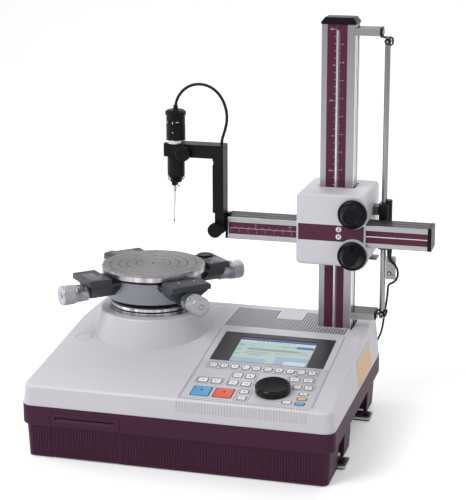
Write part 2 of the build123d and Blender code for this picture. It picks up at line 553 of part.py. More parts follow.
HOLE_ANGLES = (105.0, -15.0, -135.0)
with BuildPart() as table_top:
    turned([(0.0, 206.0), (30.0, 206.0), (30.0, 203.0), (48.0, 203.0), (48.0, TABLE_Z0), (TABLE_R - 0.8, TABLE_Z0), (TABLE_R, TABLE_Z0 + 0.8),
            (TABLE_R, TABLE_Z1 - 2.2), (TABLE_R - 2.2, TABLE_Z1), (0.0, TABLE_Z1)])
    for r in (25.0, 38.0, 50.0, 63.0):
        turned([(r - 0.45, TABLE_Z1 + 1), (r - 0.45, TABLE_Z1 - 0.3), (r, TABLE_Z1 - 0.7), (r + 0.45, TABLE_Z1 - 0.3), (r + 0.45, TABLE_Z1 + 1)], mode=Mode.SUBTRACT)
    disc(top(200.0), 2.5, 40.0, Mode.SUBTRACT)
    with BuildSketch(top(TABLE_Z1 - 8.0)) as taps:
        with Locations(*[(r * cos(radians(a)), r * sin(radians(a))) for r in (41.5, 66.0) for a in HOLE_ANGLES]):
            Circle(1.65)
        with Locations(*[(70.0 * cos(radians(a)), 70.0 * sin(radians(a))) for a in (-75.0, -45.0, 45.0, 165.0)]):
            Circle(1.2)
    extrude(taps.sketch, amount=12.0, mode=Mode.SUBTRACT)
    for a in (AXIS_B, AXIS_B + 180):
        disc(spoke(a, 45.0, PIVOT_Z), 2.0 + FIT, 4.0, Mode.SUBTRACT)
save(table_top.part, "table_top")

# screw housings round the table: angle, side to which the long end points
BLOCKS = {"centering_block_front": (-45, 1), "centering_block_right": (45, 1), "leveling_block_left": (-135, -1), "leveling_block_rear": (135, -1)}


def screw_block(angle, flip):
    hull = [(-26.0, 211.0), (-26.0, 206.0), (-21.0, 199.0), (-9.5, 189.4), (9.5, 189.0), (23.5, 200.5), (33.0, 206.5), (33.0, 211.0)]
    lid = [(-27.0, 210.0), (34.0, 210.0), (34.0, 216.5), (32.0, 218.5), (-25.0, 218.5), (-27.0, 216.5)]
    prism(spoke(angle, 60.0), [(o * flip, z) for o, z in hull][::flip], 45.0)
    prism(spoke(angle, 79.5), [(o * flip, z) for o, z in lid][::flip], 33.0)
    # seat against the round housing, and room under the table's rim
    disc(top(150.0), HOUSING_R, HOUSING_Z1 - 150.0, Mode.SUBTRACT)
    disc(top(HOUSING_Z1 - 0.5), 78.5, 30.0, Mode.SUBTRACT)
    disc(spoke(angle, 60.0, KNOB_Z), 3.3, 60.0, Mode.SUBTRACT)
    disc(spoke(angle, 95.0, KNOB_Z), 6.0 + FIT, 20.0, Mode.SUBTRACT)
    # narrow neck beside the round housing
    for s in (-1, 1):
        with BuildSketch(spoke(angle, 66.0)) as notch:
            with Locations((s * 24.0, 196.0)):
                Rectangle(18.0, 22.0)
        extrude(notch.sketch, amount=10.5, mode=Mode.SUBTRACT)


with BuildPart() as centering_block_front:
    screw_block(*BLOCKS["centering_block_front"])
save(centering_block_front.part, "centering_block_front")
with BuildPart() as centering_block_right:
    screw_block(*BLOCKS["centering_block_right"])
save(centering_block_right.part, "centering_block_right")
with BuildPart() as leveling_block_left:
    screw_block(*BLOCKS["leveling_block_left"])
save(leveling_block_left.part, "leveling_block_left")
with BuildPart() as leveling_block_rear:
    screw_block(*BLOCKS["leveling_block_rear"])
save(leveling_block_rear.part, "leveling_block_rear")


def screw_knob(angle):
    """Micrometer knob on its spindle: sleeve, ring, knurled head, button."""
    a = radians(angle)
    axis = Axis((TX, TY, KNOB_Z), (cos(a), sin(a), 0))
    lying = Plane(origin=(TX, TY, KNOB_Z), x_dir=(cos(a), sin(a), 0), z_dir=(sin(a), -cos(a), 0))
    with BuildSketch(lying) as s:
        with BuildLine():
            Polyline((65.0, 0), (65.0, 2.2), (66.0, 3.0), (96.0, 3.0), (96.0, 6.0), (106.4, 6.0), (106.4, 11.6), (KNOB_R0, 12.2), (124.0, 12.2), (124.0, 13.0),
                     (125.2, 13.6), (126.4, 13.0), (126.4, 12.2), (127.4, 12.2), (127.4, 13.4), (128.0, 14.0), (144.6, 14.0), (146.0, 12.6), (146.0, 3.6),
                     (146.8, 3.6), (147.5, 2.8), (147.5, 0), close=True)
        make_face()
    revolve(s.sketch, axis=axis)
    # knurl
    with BuildSketch(spoke(angle, 129.4, KNOB_Z)) as knurl:
        with PolarLocations(14.1, 48):
            Circle(0.42)
    extrude(knurl.sketch, amount=14.0, mode=Mode.SUBTRACT)


with BuildPart() as centering_knob_front:
    screw_knob(-45)
save(centering_knob_front.part, "centering_knob_front")
with BuildPart() as centering_knob_right:
    screw_knob(45)
save(centering_knob_right.part, "centering_knob_right")
with BuildPart() as leveling_knob_left:
    screw_knob(-135)
save(leveling_knob_left.part, "leveling_knob_left")
with BuildPart() as leveling_knob_rear:
    screw_knob(135)
save(leveling_knob_rear.part, "leveling_knob_rear")

# ---------------------------------------------------------------------------
# Column
# ---------------------------------------------------------------------------
RACK_Y0, RACK_Y1 = 59.5, 68.5
with BuildPart() as column:
    block(top(COL_Z0), CX0, CX1, CY0, CY1, COL_Z1 - COL_Z0, r=1.2)
    tall = COL_Z1 - COL_Z0 + 4
    z = COL_Z0 - 2
    block(top(z), CX0 + 6, 256.0, CY0 + 6, CY1 - 9, tall, Mode.SUBTRACT, 2)
    block(top(z), 262.0, CX1 - 13, CY0 + 6, CY1 - 9, tall, Mode.SUBTRACT, 2)
    # seats of the two scale strips, with the ridge between them
    block(top(z), STRIP_X0, 258.3, CY0 - 1, CY0 + 1.3, tall, Mode.SUBTRACT)
    block(top(z), 263.5, STRIP_X1, CY0 - 1, CY0 + 1.3, tall, Mode.SUBTRACT)
    block(top(z), 261.1, 263.5, CY0 - 1, CY0 + 0.8, tall, Mode.SUBTRACT)
    # channel of the rack and a shallow groove beside it
    block(top(z), CX1 - 7.2, CX1 + 1, RACK_Y0, RACK_Y1, tall, Mode.SUBTRACT)
    block(top(z), CX1 - 0.8, CX1 + 1, 50.0, 53.0, tall, Mode.SUBTRACT)
    block(top(z), CX0 - 1, CX0 + 0.8, 50.0, 53.0, tall, Mode.SUBTRACT)
    # T slot at the rear
    block(top(z), 257.0, 265.0, CY1 - 3, CY1 + 1, tall, Mode.SUBTRACT)
    block(top(z), 253.0, 269.0, CY1 - 6.5, CY1 - 2.5, tall, Mode.SUBTRACT)
save(column.part, "column")

with BuildPart() as column_strips:
    block(top(125.0), STRIP_X0, 258.3, CY0 + 0.2, CY0 + 1.3, COL_Z1 - 125.0)
    block(top(125.0), 263.5, STRIP_X1, CY0 + 0.2, CY0 + 1.3, COL_Z1 - 125.0)
save(column_strips.part, "column_strips")

PITCH = pi * MODULE
TOOTH = PITCH / 2 - 0.3


def rack_outline(start, count, pitch_line, back, out):
    """Rack seen square to its length: (along, across) corners; teeth point towards +across times out."""
    pts = []
    t20 = tan(radians(20))
    for i in range(count):
        c = start + i * PITCH
        pts += [(c - TOOTH / 2 - 1.2 * t20, pitch_line - out * 1.2), (c - TOOTH / 2 + 0.85 * t20, pitch_line + out * 0.85),
                (c + TOOTH / 2 - 0.85 * t20, pitch_line + out * 0.85), (c + TOOTH / 2 + 1.2 * t20, pitch_line - out * 1.2)]
    first, last = start - PITCH * 0.6, start + (count - 0.4) * PITCH
    return [(first, back), (first, pitch_line - out * 1.2)] + pts + [(last, pitch_line - out * 1.2), (last, back)]


with BuildPart() as column_rack:
    n0 = -17
    pts = rack_outline(ZK_Z + n0 * PITCH, 92, CX1, CX1 - 7.2, 1)
    with BuildSketch(front(RACK_Y0 + 0.0)) as s:
        with BuildLine():
            Polyline(*[(x, z) for z, x in pts], close=True)
        make_face()
    extrude(s.sketch, amount=-(RACK_Y1 - RACK_Y0))
save(column_rack.part, "column_rack")

with BuildPart() as column_cap:
    block(top(COL_Z1), CX0 - 1.0, CX1 + 1.0, CY0 - 1.0, CY1 + 1.0, 3.0, r=2.5)
    # sloping sides up to a smaller top
    with BuildSketch(top(COL_Z1 + 3.0, (CX0 + CX1) / 2, (CY0 + CY1) / 2)):
        RectangleRounded(CX1 - CX0 + 2.0, CY1 - CY0 + 2.0, 2.5)
    with BuildSketch(top(CAP_Z, (CX0 + CX1) / 2, (CY0 + CY1) / 2)):
        RectangleRounded(CX1 - CX0 - 7.2, CY1 - CY0 - 7.2, 2.0)
    loft()
save(column_cap.part, "column_cap")

with BuildPart() as rod_brackets:
    for z0, z1 in ((560.3, 569.9), (151.5, 160.6)):
        block(top(z0), CX1, 318.5, CY0, CY1, z1 - z0, r=0.8)
        block(side(CX1 - 1), CY0 + 4, CY1 - 4, z0 + 2.2, z1 - 2.2, 40.0, Mode.SUBTRACT, 1)
        block(top(z0 - 1), CX1 - 1, 330.0, CY0 + 15.0, CY0 + 18.0, 2.0, Mode.SUBTRACT)
save(rod_brackets.part, "rod_brackets")

with BuildPart() as rod_joints:
    for zp, z0, z1, s in ((558.0, 557.4, 571.4, -1), (156.0, 150.0, 162.5, 1)):
        block(side(318.5), CY0, CY1, z0, z1, 2.0, r=1.2)
        for y in (CY0 + 6.0, CY1 - 6.0):
            disc(side(320.5, y, (z0 + z1) / 2), 2.4, 1.6)
        # curved arm to the rod's end
        zr = 551.5 if s < 0 else 158.0
        zm = (z0 + z1) / 2
        block(side(320.0), 55.5, 60.5, min(zm, zr) - 3, max(zm, zr) + 3, 4.5, r=1.5)
        with BuildSketch(front(ROD_Y - 5.0, ROD_X, zr)) as eye:
            Circle(5.4)
        extrude(eye.sketch, amount=-10.0)
        disc(front(ROD_Y - 7.5, ROD_X, zr), 2.2, -15.0)
    # rod ends sit in the eyes
    disc(top(151.0, ROD_X, ROD_Y), 2.0 + 2.0, 410.0 - 2.0, Mode.SUBTRACT)
save(rod_joints.part, "rod_joints")

with BuildPart() as scale_rod:
    disc(top(151.0, ROD_X, ROD_Y), ROD_R, 408.0)
    chamfer(scale_rod.edges().filter_by(GeomType.CIRCLE), length=0.6)
save(scale_rod.part, "scale_rod")

# ---------------------------------------------------------------------------
# Carriage
# ---------------------------------------------------------------------------
kcx = (KX0 + KX1) / 2
with BuildPart() as carriage_shell:
    with BuildSketch(front(KY1, kcx, (KZ0 + KZ1) / 2)) as s:
        RectangleRounded(KX1 - KX0, KZ1 - KZ0, 7.0)
    extrude(s.sketch, amount=KY1 - KY0)
    fillet(carriage_shell.faces().sort_by(Axis.Y)[0].edges(), radius=4.0)
    for x, z in ((ZK_X - 0.5, ZK_Z), (XK_X, XK_Z)):
        disc(front(KY0 + 0.5, x, z), 22.6, 1.7)
    block(front(KY1 + 1, kcx, (KZ0 + KZ1) / 2), -(KX1 - KX0) / 2 + WALL, (KX1 - KX0) / 2 - WALL, -(KZ1 - KZ0) / 2 + WALL, (KZ1 - KZ0) / 2 - WALL,
          KY1 + 1 - KY0 - WALL, Mode.SUBTRACT, 5)
    # passage of the column
    block(top(KZ0 - 1), CX0 - 1.2, CX1 + 2.2, CY0 - 1.0, CY1 + 1.6, 120.0, Mode.SUBTRACT)
    # passage of the arm
    block(side(KX0 - 1), AY0 - 0.7, AY1 + 0.8, AZ0 - 0.8, AZ1 + 0.8, 120.0, Mode.SUBTRACT)
    block(side(KX0 - 1), 10.8, 21.2, 267.2, 272.0, 120.0, Mode.SUBTRACT)
    # shafts of the two knobs
    for x, z in ((ZK_X, ZK_Z), (XK_X, XK_Z)):
        disc(front(KY0 + 4, x, z), 5.0, 10.0, Mode.SUBTRACT)
save(carriage_shell.part, "carriage_shell")

with BuildPart() as carriage_back:
    with BuildSketch(front(107.0, kcx, (KZ0 + KZ1) / 2)) as s:
        RectangleRounded(KX1 - KX0 - 2.0, KZ1 - KZ0 - 2.0, 6.5)
    extrude(s.sketch, amount=107.0 - KY1)
    fillet(carriage_back.faces().sort_by(Axis.Y)[-1].edges(), radius=5.0)
    block(front(103.5, kcx, (KZ0 + KZ1) / 2), -(KX1 - KX0) / 2 + 4.5, (KX1 - KX0) / 2 - 4.5, -(KZ1 - KZ0) / 2 + 4.5, (KZ1 - KZ0) / 2 - 4.5,
          30.0, Mode.SUBTRACT, 4)
save(carriage_back.part, "carriage_back")

with BuildPart() as carriage_frame:
    # main plate between the arm and the column
    block(front(40.4), 225.0, 305.0, 248.0, 338.0, 4.0)
    # cheeks beside the column and the keeper behind it
    block(top(248.0), 229.5, 236.7, 40.0, 84.0, 90.0)
    block(top(248.0), 285.3, 291.0, 40.0, 58.4, 90.0)
    block(top(248.0), 229.5, 291.0, 77.0, 84.0, 18.0)
    block(top(326.0), 229.5, 291.0, 77.0, 84.0, 12.0)
    block(top(248.0), 285.3, 291.0, 69.6, 84.0, 90.0)
    # ledges over and under the arm
    block(top(303.2), 225.0, 283.0, 4.0, 38.0, 6.0)
    block(top(262.0), 225.0, 283.0, 22.5, 38.0, 8.1)
    # bearing blocks of the two shafts
    block(front(40.4), 287.0, 303.0, 310.0, 328.0, -17.6)
    block(front(40.4), 287.0, 304.0, 251.0, 268.4, 18.0)
    disc(front(70.0, ZK_X, ZK_Z), 4.0 + FIT, 60.0, Mode.SUBTRACT)
    disc(front(50.0, XK_X, XK_Z), 4.0 + FIT, 60.0, Mode.SUBTRACT)
save(carriage_frame.part, "carriage_frame")


def pinion(x, z, y0, y1, tooth_angle):
    """Spur pinion on the line (x, z), between y0 and y1; one tooth points at tooth_angle from +X towards +Z."""
    pts = []
    for i in range(TEETH):
        a = radians(tooth_angle + i * 360.0 / TEETH)
        for r, half in ((PINION_R - 1.25, 0.95), (PINION_R, TOOTH / 2), (PINION_R + 0.85, 0.32)):
            b = a - half / r
            pts.append((r * cos(b), r * sin(b)))
        for r, half in ((PINION_R + 0.85, 0.32), (PINION_R, TOOTH / 2), (PINION_R - 1.25, 0.95)):
            b = a + half / r
            pts.append((r * cos(b), r * sin(b)))
    prism(front(y1, x, z), pts, y1 - y0)


with BuildPart() as z_pinion:
    disc(front(68.4, ZK_X, ZK_Z), 4.0, 68.4 + 12.0)
    pinion(ZK_X, ZK_Z, 59.6, 68.4, 9.0)
save(z_pinion.part, "z_pinion")

with BuildPart() as x_pinion:
    disc(front(40.0, XK_X, XK_Z), 4.0, 52.0)
    pinion(XK_X, XK_Z, 12.2, 19.8, 9.0)
save(x_pinion.part, "x_pinion")


def hand_knob(x, z):
    """Hand knob in front of the carriage, turned about the line (x, z)."""
    lying = Plane(origin=(TX + x, TY, z), x_dir=(0, -1, 0), z_dir=(1, 0, 0))
    with BuildSketch(lying) as s:
        with BuildLine():
            Polyline((7.4, 4.0), (7.4, 8.0), (9.6, 8.4), (9.6, 19.2), (10.8, 20.5), (14.6, 20.5), (15.6, 19.6), (17.0, 17.2), (29.8, 11.2), (32.2, 9.6), (32.2, 8.2),
                     (31.4, 7.6), (31.4, 0), (12.0, 0), (12.0, 4.0), close=True)
        make_face()
    revolve(s.sketch, axis=Axis((TX + x, TY, z), (0, -1, 0)))


with BuildPart() as z_knob:
    hand_knob(ZK_X, ZK_Z)
save(z_knob.part, "z_knob")
with BuildPart() as x_knob:
    hand_knob(XK_X, XK_Z)
save(x_knob.part, "x_knob")

with BuildPart() as scale_head:
    block(top(256.0), 321.0, 335.0, 47.0, 69.0, 66.0, r=4)
    with BuildSketch(top(262.0, 334.0, 58.0)) as nose:
        Circle(5.2)
    extrude(nose.sketch, amount=65.0)
    block(side(KX1), 48.0, 68.0, 306.0, 318.0, 9.5)
    block(side(KX1), 48.0, 68.0, 258.0, 266.0, 9.5)
    disc(top(250.0, ROD_X, ROD_Y), ROD_R + 0.3, 80.0, Mode.SUBTRACT)
    # strain relief of the cable
    turned([(0.0, 244.0), (2.6, 244.0), (3.6, 257.0), (0.0, 257.0)], 338.0, 50.5)
    block(top(256.0), 334.4, 341.8, 47.0, 54.0, 12.0, r=2)
save(scale_head.part, "scale_head")

with BuildPart() as cable_clamp:
    block(front(56.0), 332.4, 346.5, 211.0, 245.0, 2.0, r=1.2)
    block(front(58.0), 333.0, 338.0, 238.0, 256.0, 2.0)
    for z in (217.0, 239.0):
        disc(front(54.0, 342.5, z), 1.9, 1.3)
save(cable_clamp.part, "cable_clamp")

# ---------------------------------------------------------------------------
# Arm
# ---------------------------------------------------------------------------
with BuildPart() as arm_beam:
    block(side(AX0), AY0, AY1, AZ0, AZ1, AX1 - AX0, r=1.2)
    x0, ln = AX0 - 1, AX1 - AX0 + 2
    # seat of the scale strip
    block(side(x0), AY0 - 1, AY0 + 1.3, 277.2, 294.8, ln, Mode.SUBTRACT)
    # grooves along the top
    for y in (5.0, 16.5, 28.0):
        block(side(x0), y - 2.2, y + 2.2, AZ1 - 1.6, AZ1 + 1, ln, Mode.SUBTRACT)
    block(side(x0), AY0 + 6, AY1 - 6, 280.0, 297.0, ln, Mode.SUBTRACT, 2)
    # channel of the rack
    block(side(x0), 11.8, 20.2, AZ0 - 1, 274.2, ln, Mode.SUBTRACT)
    block(side(x0), AY1 - 2.2, AY1 + 1, 283.5, 289.5, ln, Mode.SUBTRACT)
save(arm_beam.part, "arm_beam")

with BuildPart() as arm_strips:
    block(side(AX0), AY0 + 0.2, AY0 + 1.3, 277.2, 294.8, AX1 - AX0)
    block(side(AX0 - 1), AY0 - 1, AY0 + 0.6, 285.2, 287.0, AX1 - AX0 + 2, Mode.SUBTRACT)
save(arm_strips.part, "arm_strips")

with BuildPart() as arm_rack:
    pts = rack_outline(XK_X - 34 * PITCH, 55, XK_Z + PINION_R, 274.2, -1)
    with BuildSketch(front(20.2)) as s:
        with BuildLine():
            Polyline(*pts, close=True)
        make_face()
    extrude(s.sketch, amount=8.4)
save(arm_rack.part, "arm_rack")

with BuildPart() as arm_end_caps:
    block(side(109.5), AY0, AY1, AZ0, AZ1, AX0 - 109.5, r=1.2)
    block(side(AX1), AY0 - 0.3, AY1 + 0.3, AZ0 - 0.3, AZ1 + 0.3, 404.0 - AX1, r=1.6)
    # stop on the upper face beside the holder
    block(top(AZ1), 109.6, 115.4, 2.0, 12.0, 4.2, r=0.8)
    disc(front(2.4, 112.5, AZ1 + 2.2), 1.2, 1.2)
save(arm_end_caps.part, "arm_end_caps")

# ---------------------------------------------------------------------------
# Detector
# ---------------------------------------------------------------------------
HX = 109.4
with BuildPart() as detector_holder:
    block(top(387.2), 21.7, HX, -13.0, 13.0, 406.0 - 387.2, r=1.5)
    block(top(309.0), 93.6, HX, -13.0, 13.0, 78.4, r=1.2)
    block(top(280.4), 96.8, HX, -13.0, 13.0, 29.0, r=1.0)
    # step under the corner
    block(top(378.0), 93.0, 95.0, -14.0, 14.0, 6.0, Mode.SUBTRACT)
    disc(top(380.0, DX, 0.0), 10.5 + FIT, 40.0, Mode.SUBTRACT)
    # clamping slit in front of the detector's bore
    block(top(380.0), 20.0, 26.5, -0.9, 0.9, 40.0, Mode.SUBTRACT)
    disc(front(-4.0, 53.0, 393.6), 2.5 + FIT, 12.0, Mode.SUBTRACT)
    disc(front(-4.0, 99.8, 286.0), 2.5 + FIT, 12.0, Mode.SUBTRACT)
save(detector_holder.part, "detector_holder")


def thumb_knob(x, z, r):
    """Thumb screw on the front of the holder at (x, z)."""
    lying = Plane(origin=(TX + x, TY, z), x_dir=(0, -1, 0), z_dir=(1, 0, 0))
    with BuildSketch(lying) as s:
        with BuildLine():
            Polyline((4.8, 0), (4.8, 2.5), (13.6, 2.5), (13.6, 5.0), (15.0, 5.0), (15.0, r - 1.0), (16.0, r), (23.5, r), (24.6, r - 1.1), (24.6, 0), close=True)
        make_face()
    revolve(s.sketch, axis=Axis((TX + x, TY, z), (0, -1, 0)))
    with BuildSketch(front(-16.6, x, z)) as knurl:
        with PolarLocations(r + 0.15, 36):
            Circle(0.5)
    extrude(knurl.sketch, amount=6.4, mode=Mode.SUBTRACT)


with BuildPart() as clamp_knob:
    thumb_knob(53.0, 393.6, 10.5)
save(clamp_knob.part, "clamp_knob")
with BuildPart() as holder_knob:
    thumb_knob(99.8, 286.0, 10.5)
save(holder_knob.part, "holder_knob")

with BuildPart() as detector_body:
    turned([(0.0, 453.0), (11.5, 453.0), (14.8, 450.4), (14.8, 446.0), (13.4, 445.0), (13.4, 434.0), (12.9, 433.6), (12.9, 432.6), (13.6, 432.2), (13.6, 409.2), (13.0, 408.8),
            (13.8, 408.4), (13.8, 406.4), (10.5, 406.4), (10.5, 386.8), (12.4, 386.4), (12.4, 358.6), (11.8, 358.0), (8.2, 352.0), (8.2, 349.0), (0.0, 349.0)], DX, 0.0)
    # fork of the stylus pivot
    block(front(4.6), ST_X - 3.4, ST_X + 3.4, 343.6, 350.0, 1.8, r=1)
    block(front(-2.8), ST_X - 3.4, ST_X + 3.4, 343.6, 350.0, 1.8, r=1)
    disc(front(4.6, ST_X, 346.2), 1.0, 9.2)
save(detector_body.part, "detector_body")

with BuildPart() as stylus:
    disc(front(2.4, ST_X, 346.2), 2.6, 4.8)
    disc(front(3.0, ST_X, 346.2), 1.0 + FIT, 6.0, Mode.SUBTRACT)
    lean = Plane(origin=(TX + 34.6, TY, 344.4), x_dir=(0, 1, 0), z_dir=(-2.0 / 55.5, 0, -1))
    with BuildSketch(lean) as s1:
        Circle(2.1)
    extrude(s1.sketch, amount=10.0)
    with BuildSketch(lean) as s2:
        Circle(0.9)
    extrude(s2.sketch, amount=44.0, taper=0.25)
    with BuildSketch(lean) as s3:
        Circle(0.45)
    extrude(s3.sketch, amount=55.6)
    ball = Plane(origin=(TX + 32.6, TY, 289.0), x_dir=(1, 0, 0), z_dir=(0, -1, 0))
    with BuildSketch(ball) as s4:
        with BuildLine():
            ThreePointArc((0, -0.8), (0.8, 0), (0, 0.8))
            Line((0, 0.8), (0, -0.8))
        make_face()
    revolve(s4.sketch, axis=Axis((TX + 32.6, TY, 289.0), (0, 0, 1)))
save(stylus.part, "stylus")

# ---------------------------------------------------------------------------
# Cables: straight runs joined by tangent arcs, each as large as its runs allow
# ---------------------------------------------------------------------------
def cable_radii(points):
    radii = []
    for a, b, c in zip(points, points[1:], points[2:]):
        v1, v2 = Vector(*b) - Vector(*a), Vector(*c) - Vector(*b)
        turn = v1.get_angle(v2)
        radii.append(0.45 * min(v1.length, v2.length) / tan(radians(turn / 2)))
    return radii


def cable(points, diameter):
    pts = [(TX + x, TY + y, z) for x, y, z in points]
    radii = cable_radii(pts)
    print("radii", [round(r, 1) for r in radii], "runs", [round((Vector(*b) - Vector(*a)).length, 1) for a, b in zip(pts, pts[1:])])
    with BuildLine() as path:
        FilletPolyline(*pts, radius=radii)
    first = Vector(*pts[1]) - Vector(*pts[0])
    with BuildSketch(Plane(origin=pts[0], z_dir=first)) as s:
        Circle(diameter / 2)
    sweep(s.sketch, path=path.line)
    return sum(e.length for e in path.line.edges())


DETECTOR_CABLE = [(36.4, 0.0, 453.0), (36.4, 0.0, 461.0), (40.5, 0.0, 472.0), (50.0, 0.0, 483.5), (63.5, 0.0, 490.0), (78.5, 0.0, 490.5),
                  (92.5, 0.0, 485.0), (103.0, 0.0, 474.5), (109.6, 0.0, 461.0), (112.2, 0.0, 446.0), (110.6, 0.0, 432.0), (106.4, 0.0, 419.0), (104.2, 0.0, 411.5), (104.2, 0.0, 406.0)]
with BuildPart() as detector_cable:
    length = cable(DETECTOR_CABLE, 4.2)
save(detector_cable.part, "detector_cable")
print("detector cable", length, detector_cable.part.volume / (pi * 2.1 ** 2))

HEAD_CABLE = [(338.0, 50.5, 244.0), (338.0, 50.5, 238.5), (341.6, 48.4, 233.0), (346.5, 48.0, 227.5), (350.4, 48.6, 220.6), (350.6, 50.6, 213.0),
              (347.4, 54.0, 207.0), (342.0, 58.6, 203.4), (337.6, 64.0, 199.0), (335.4, 69.6, 190.6), (332.6, 76.0, 178.0), (328.8, 84.0, 162.0),
              (325.0, 94.0, 145.0), (321.6, 106.0, 128.0), (317.6, 119.0, 112.0), (312.0, 130.6, 98.0), (305.6, 139.6, 85.0),
              (299.6, 143.4, 74.0), (294.0, 139.4, 65.0), (290.0, 132.4, 61.0), (290.0, 125.0, 61.0)]
with BuildPart() as head_cable:
    length = cable(HEAD_CABLE, 3.2)
save(head_cable.part, "head_cable")
print("head cable", length, head_cable.part.volume / (pi * 1.6 ** 2))
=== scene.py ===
import bpy, bmesh, math, random
from mathutils import Vector, Matrix, noise
from math import sin, cos, pi, radians, atan, atan2, sqrt, degrees


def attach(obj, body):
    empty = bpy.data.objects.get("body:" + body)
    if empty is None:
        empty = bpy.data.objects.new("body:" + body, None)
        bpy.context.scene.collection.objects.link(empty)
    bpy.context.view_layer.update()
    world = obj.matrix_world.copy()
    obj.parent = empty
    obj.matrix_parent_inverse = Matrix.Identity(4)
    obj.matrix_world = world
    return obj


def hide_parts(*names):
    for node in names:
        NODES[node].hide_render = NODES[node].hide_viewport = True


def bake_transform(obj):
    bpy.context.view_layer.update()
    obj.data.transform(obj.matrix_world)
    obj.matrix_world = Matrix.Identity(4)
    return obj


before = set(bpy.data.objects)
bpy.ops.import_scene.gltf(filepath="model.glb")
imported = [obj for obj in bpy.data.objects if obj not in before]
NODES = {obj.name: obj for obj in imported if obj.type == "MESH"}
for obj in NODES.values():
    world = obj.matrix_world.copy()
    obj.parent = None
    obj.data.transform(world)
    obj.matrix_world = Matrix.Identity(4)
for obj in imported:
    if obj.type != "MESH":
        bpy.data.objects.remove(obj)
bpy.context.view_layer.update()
random.seed(4)

# ---------------------------------------------------------------------------
# Places are given in millimetres from the table's axis on the floor, as the
# object's drawing has them, and become metres in the shared frame here.
# ---------------------------------------------------------------------------
TX, TY = -142.0, 48.0
TOP_Z = 225.5
HOLES = (105.0, -15.0, -135.0)


def V(x, y, z):
    return Vector(((x + TX) / 1000.0, (y + TY) / 1000.0, z / 1000.0))


SLOPE = atan(0.14)
DECK_N = Vector((0, -sin(SLOPE), cos(SLOPE)))


def deck_z(y):
    return 104.5 + 0.14 * (y + 218.0)


class Frame:
    """A local frame: origin in drawing millimetres, unit vectors a, b and n."""
    def __init__(self, o, a, b, n):
        self.o, self.a, self.b, self.n = Vector(o), Vector(a), Vector(b), Vector(n)

    def __call__(self, x, y, h=0.0):
        p = self.o + self.a * x + self.b * y + self.n * h
        return V(p.x, p.y, p.z)


DECK = Frame((0, -218.0, 104.5), (1, 0, 0), (0, cos(SLOPE), sin(SLOPE)), DECK_N)


def deck_at(x, y):
    """Deck frame with its origin at drawing point (x, y)."""
    return Frame((x, y, deck_z(y)), (1, 0, 0), (0, cos(SLOPE), sin(SLOPE)), DECK_N)


def front_at(x, y, z):
    """Upright frame facing the front."""
    return Frame((x, y, z), (1, 0, 0), (0, 0, 1), (0, -1, 0))


def top_at(x, y, z):
    return Frame((x, y, z), (1, 0, 0), (0, 1, 0), (0, 0, 1))


def right_at(x, y, z):
    return Frame((x, y, z), (0, 1, 0), (0, 0, 1), (1, 0, 0))


# ---------------------------------------------------------------------------
# Mesh building
# ---------------------------------------------------------------------------
class Mesh:
    """Gathers vertices and faces, then makes one object."""
    def __init__(self, name):
        self.name, self.v, self.f, self.m = name, [], [], []
        self.mats = []

    def slot(self, material):
        if material not in self.mats:
            self.mats.append(material)
        return self.mats.index(material)

    def loft(self, rings, material, cap0=True, cap1=True, closed=True):
        """Skin through rings of the same number of points."""
        k = self.slot(material)
        base = len(self.v)
        n = len(rings[0])
        for r in rings:
            self.v += [tuple(p) for p in r]
        for i in range(len(rings) - 1):
            for j in range(n if closed else n - 1):
                a = base + i * n + j
                b = base + i * n + (j + 1) % n
                self.f.append((a, b, b + n, a + n))
                self.m.append(k)
        if cap0:
            self.f.append(tuple(base + j for j in range(n))[::-1])
            self.m.append(k)
        if cap1:
            self.f.append(tuple(base + (len(rings) - 1) * n + j for j in range(n)))
            self.m.append(k)

    def lathe(self, fr, profile, material, steps=96, cap0=True, cap1=True, wave=None):
        """Turned form in a frame: (radius, height) pairs along its normal. wave(angle, radius, height) may change a radius."""
        rings = []
        for r, h in profile:
            ring = []
            for i in range(steps):
                a = 2 * pi * i / steps
                rr = r if wave is None else wave(a, r, h)
                ring.append(fr(rr * cos(a), rr * sin(a), h))
            rings.append(ring)
        self.loft(rings, material, cap0, cap1)

    def pad(self, fr, x0, x1, y0, y1, r, h0, h1, bevel, material, segs=5):
        """Rounded rectangular pad with a soft upper edge."""
        rings = []
        steps = [(0.0, h0), (0.0, h1 - bevel)]
        for k in (1, 2, 3):
            t = pi / 2 * k / 3
            steps.append((bevel * (1 - cos(t)), h1 - bevel + bevel * sin(t)))
        for off, h in steps:
            rings.append([fr(x, y, h) for x, y in rounded(x0 + off, x1 - off, y0 + off, y1 - off, max(r - off, 0.05), segs)])
        self.loft(rings, material)

    def plate(self, fr, pts, h0, h1, material):
        """Flat plate with any outline, given in order round its edge."""
        self.loft([[fr(x, y, h0) for x, y in pts], [fr(x, y, h1) for x, y in pts]], material)

    def make(self, body, smooth=30.0, slot=None):
        me = bpy.data.meshes.new(self.name)
        me.from_pydata(self.v, [], self.f)
        for m in self.mats:
            me.materials.append(m)
        me.polygons.foreach_set("material_index", self.m)
        bm = bmesh.new()
        bm.from_mesh(me)
        bmesh.ops.recalc_face_normals(bm, faces=bm.faces)
        bm.to_mesh(me)
        bm.free()
        me.shade_smooth()
        me.set_sharp_from_angle(angle=radians(smooth))
        ob = bpy.data.objects.new(self.name, me)
        bpy.context.scene.collection.objects.link(ob)
        if body:
            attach(ob, body)
        return ob


def rounded(x0, x1, y0, y1, r, segs=5):
    pts = []
    for cx, cy, a0 in ((x1 - r, y1 - r, 0), (x0 + r, y1 - r, 90), (x0 + r, y0 + r, 180), (x1 - r, y0 + r, 270)):
        for k in range(segs + 1):
            a = radians(a0 + 90.0 * k / segs)
            pts.append((cx + r * cos(a), cy + r * sin(a)))
    return pts


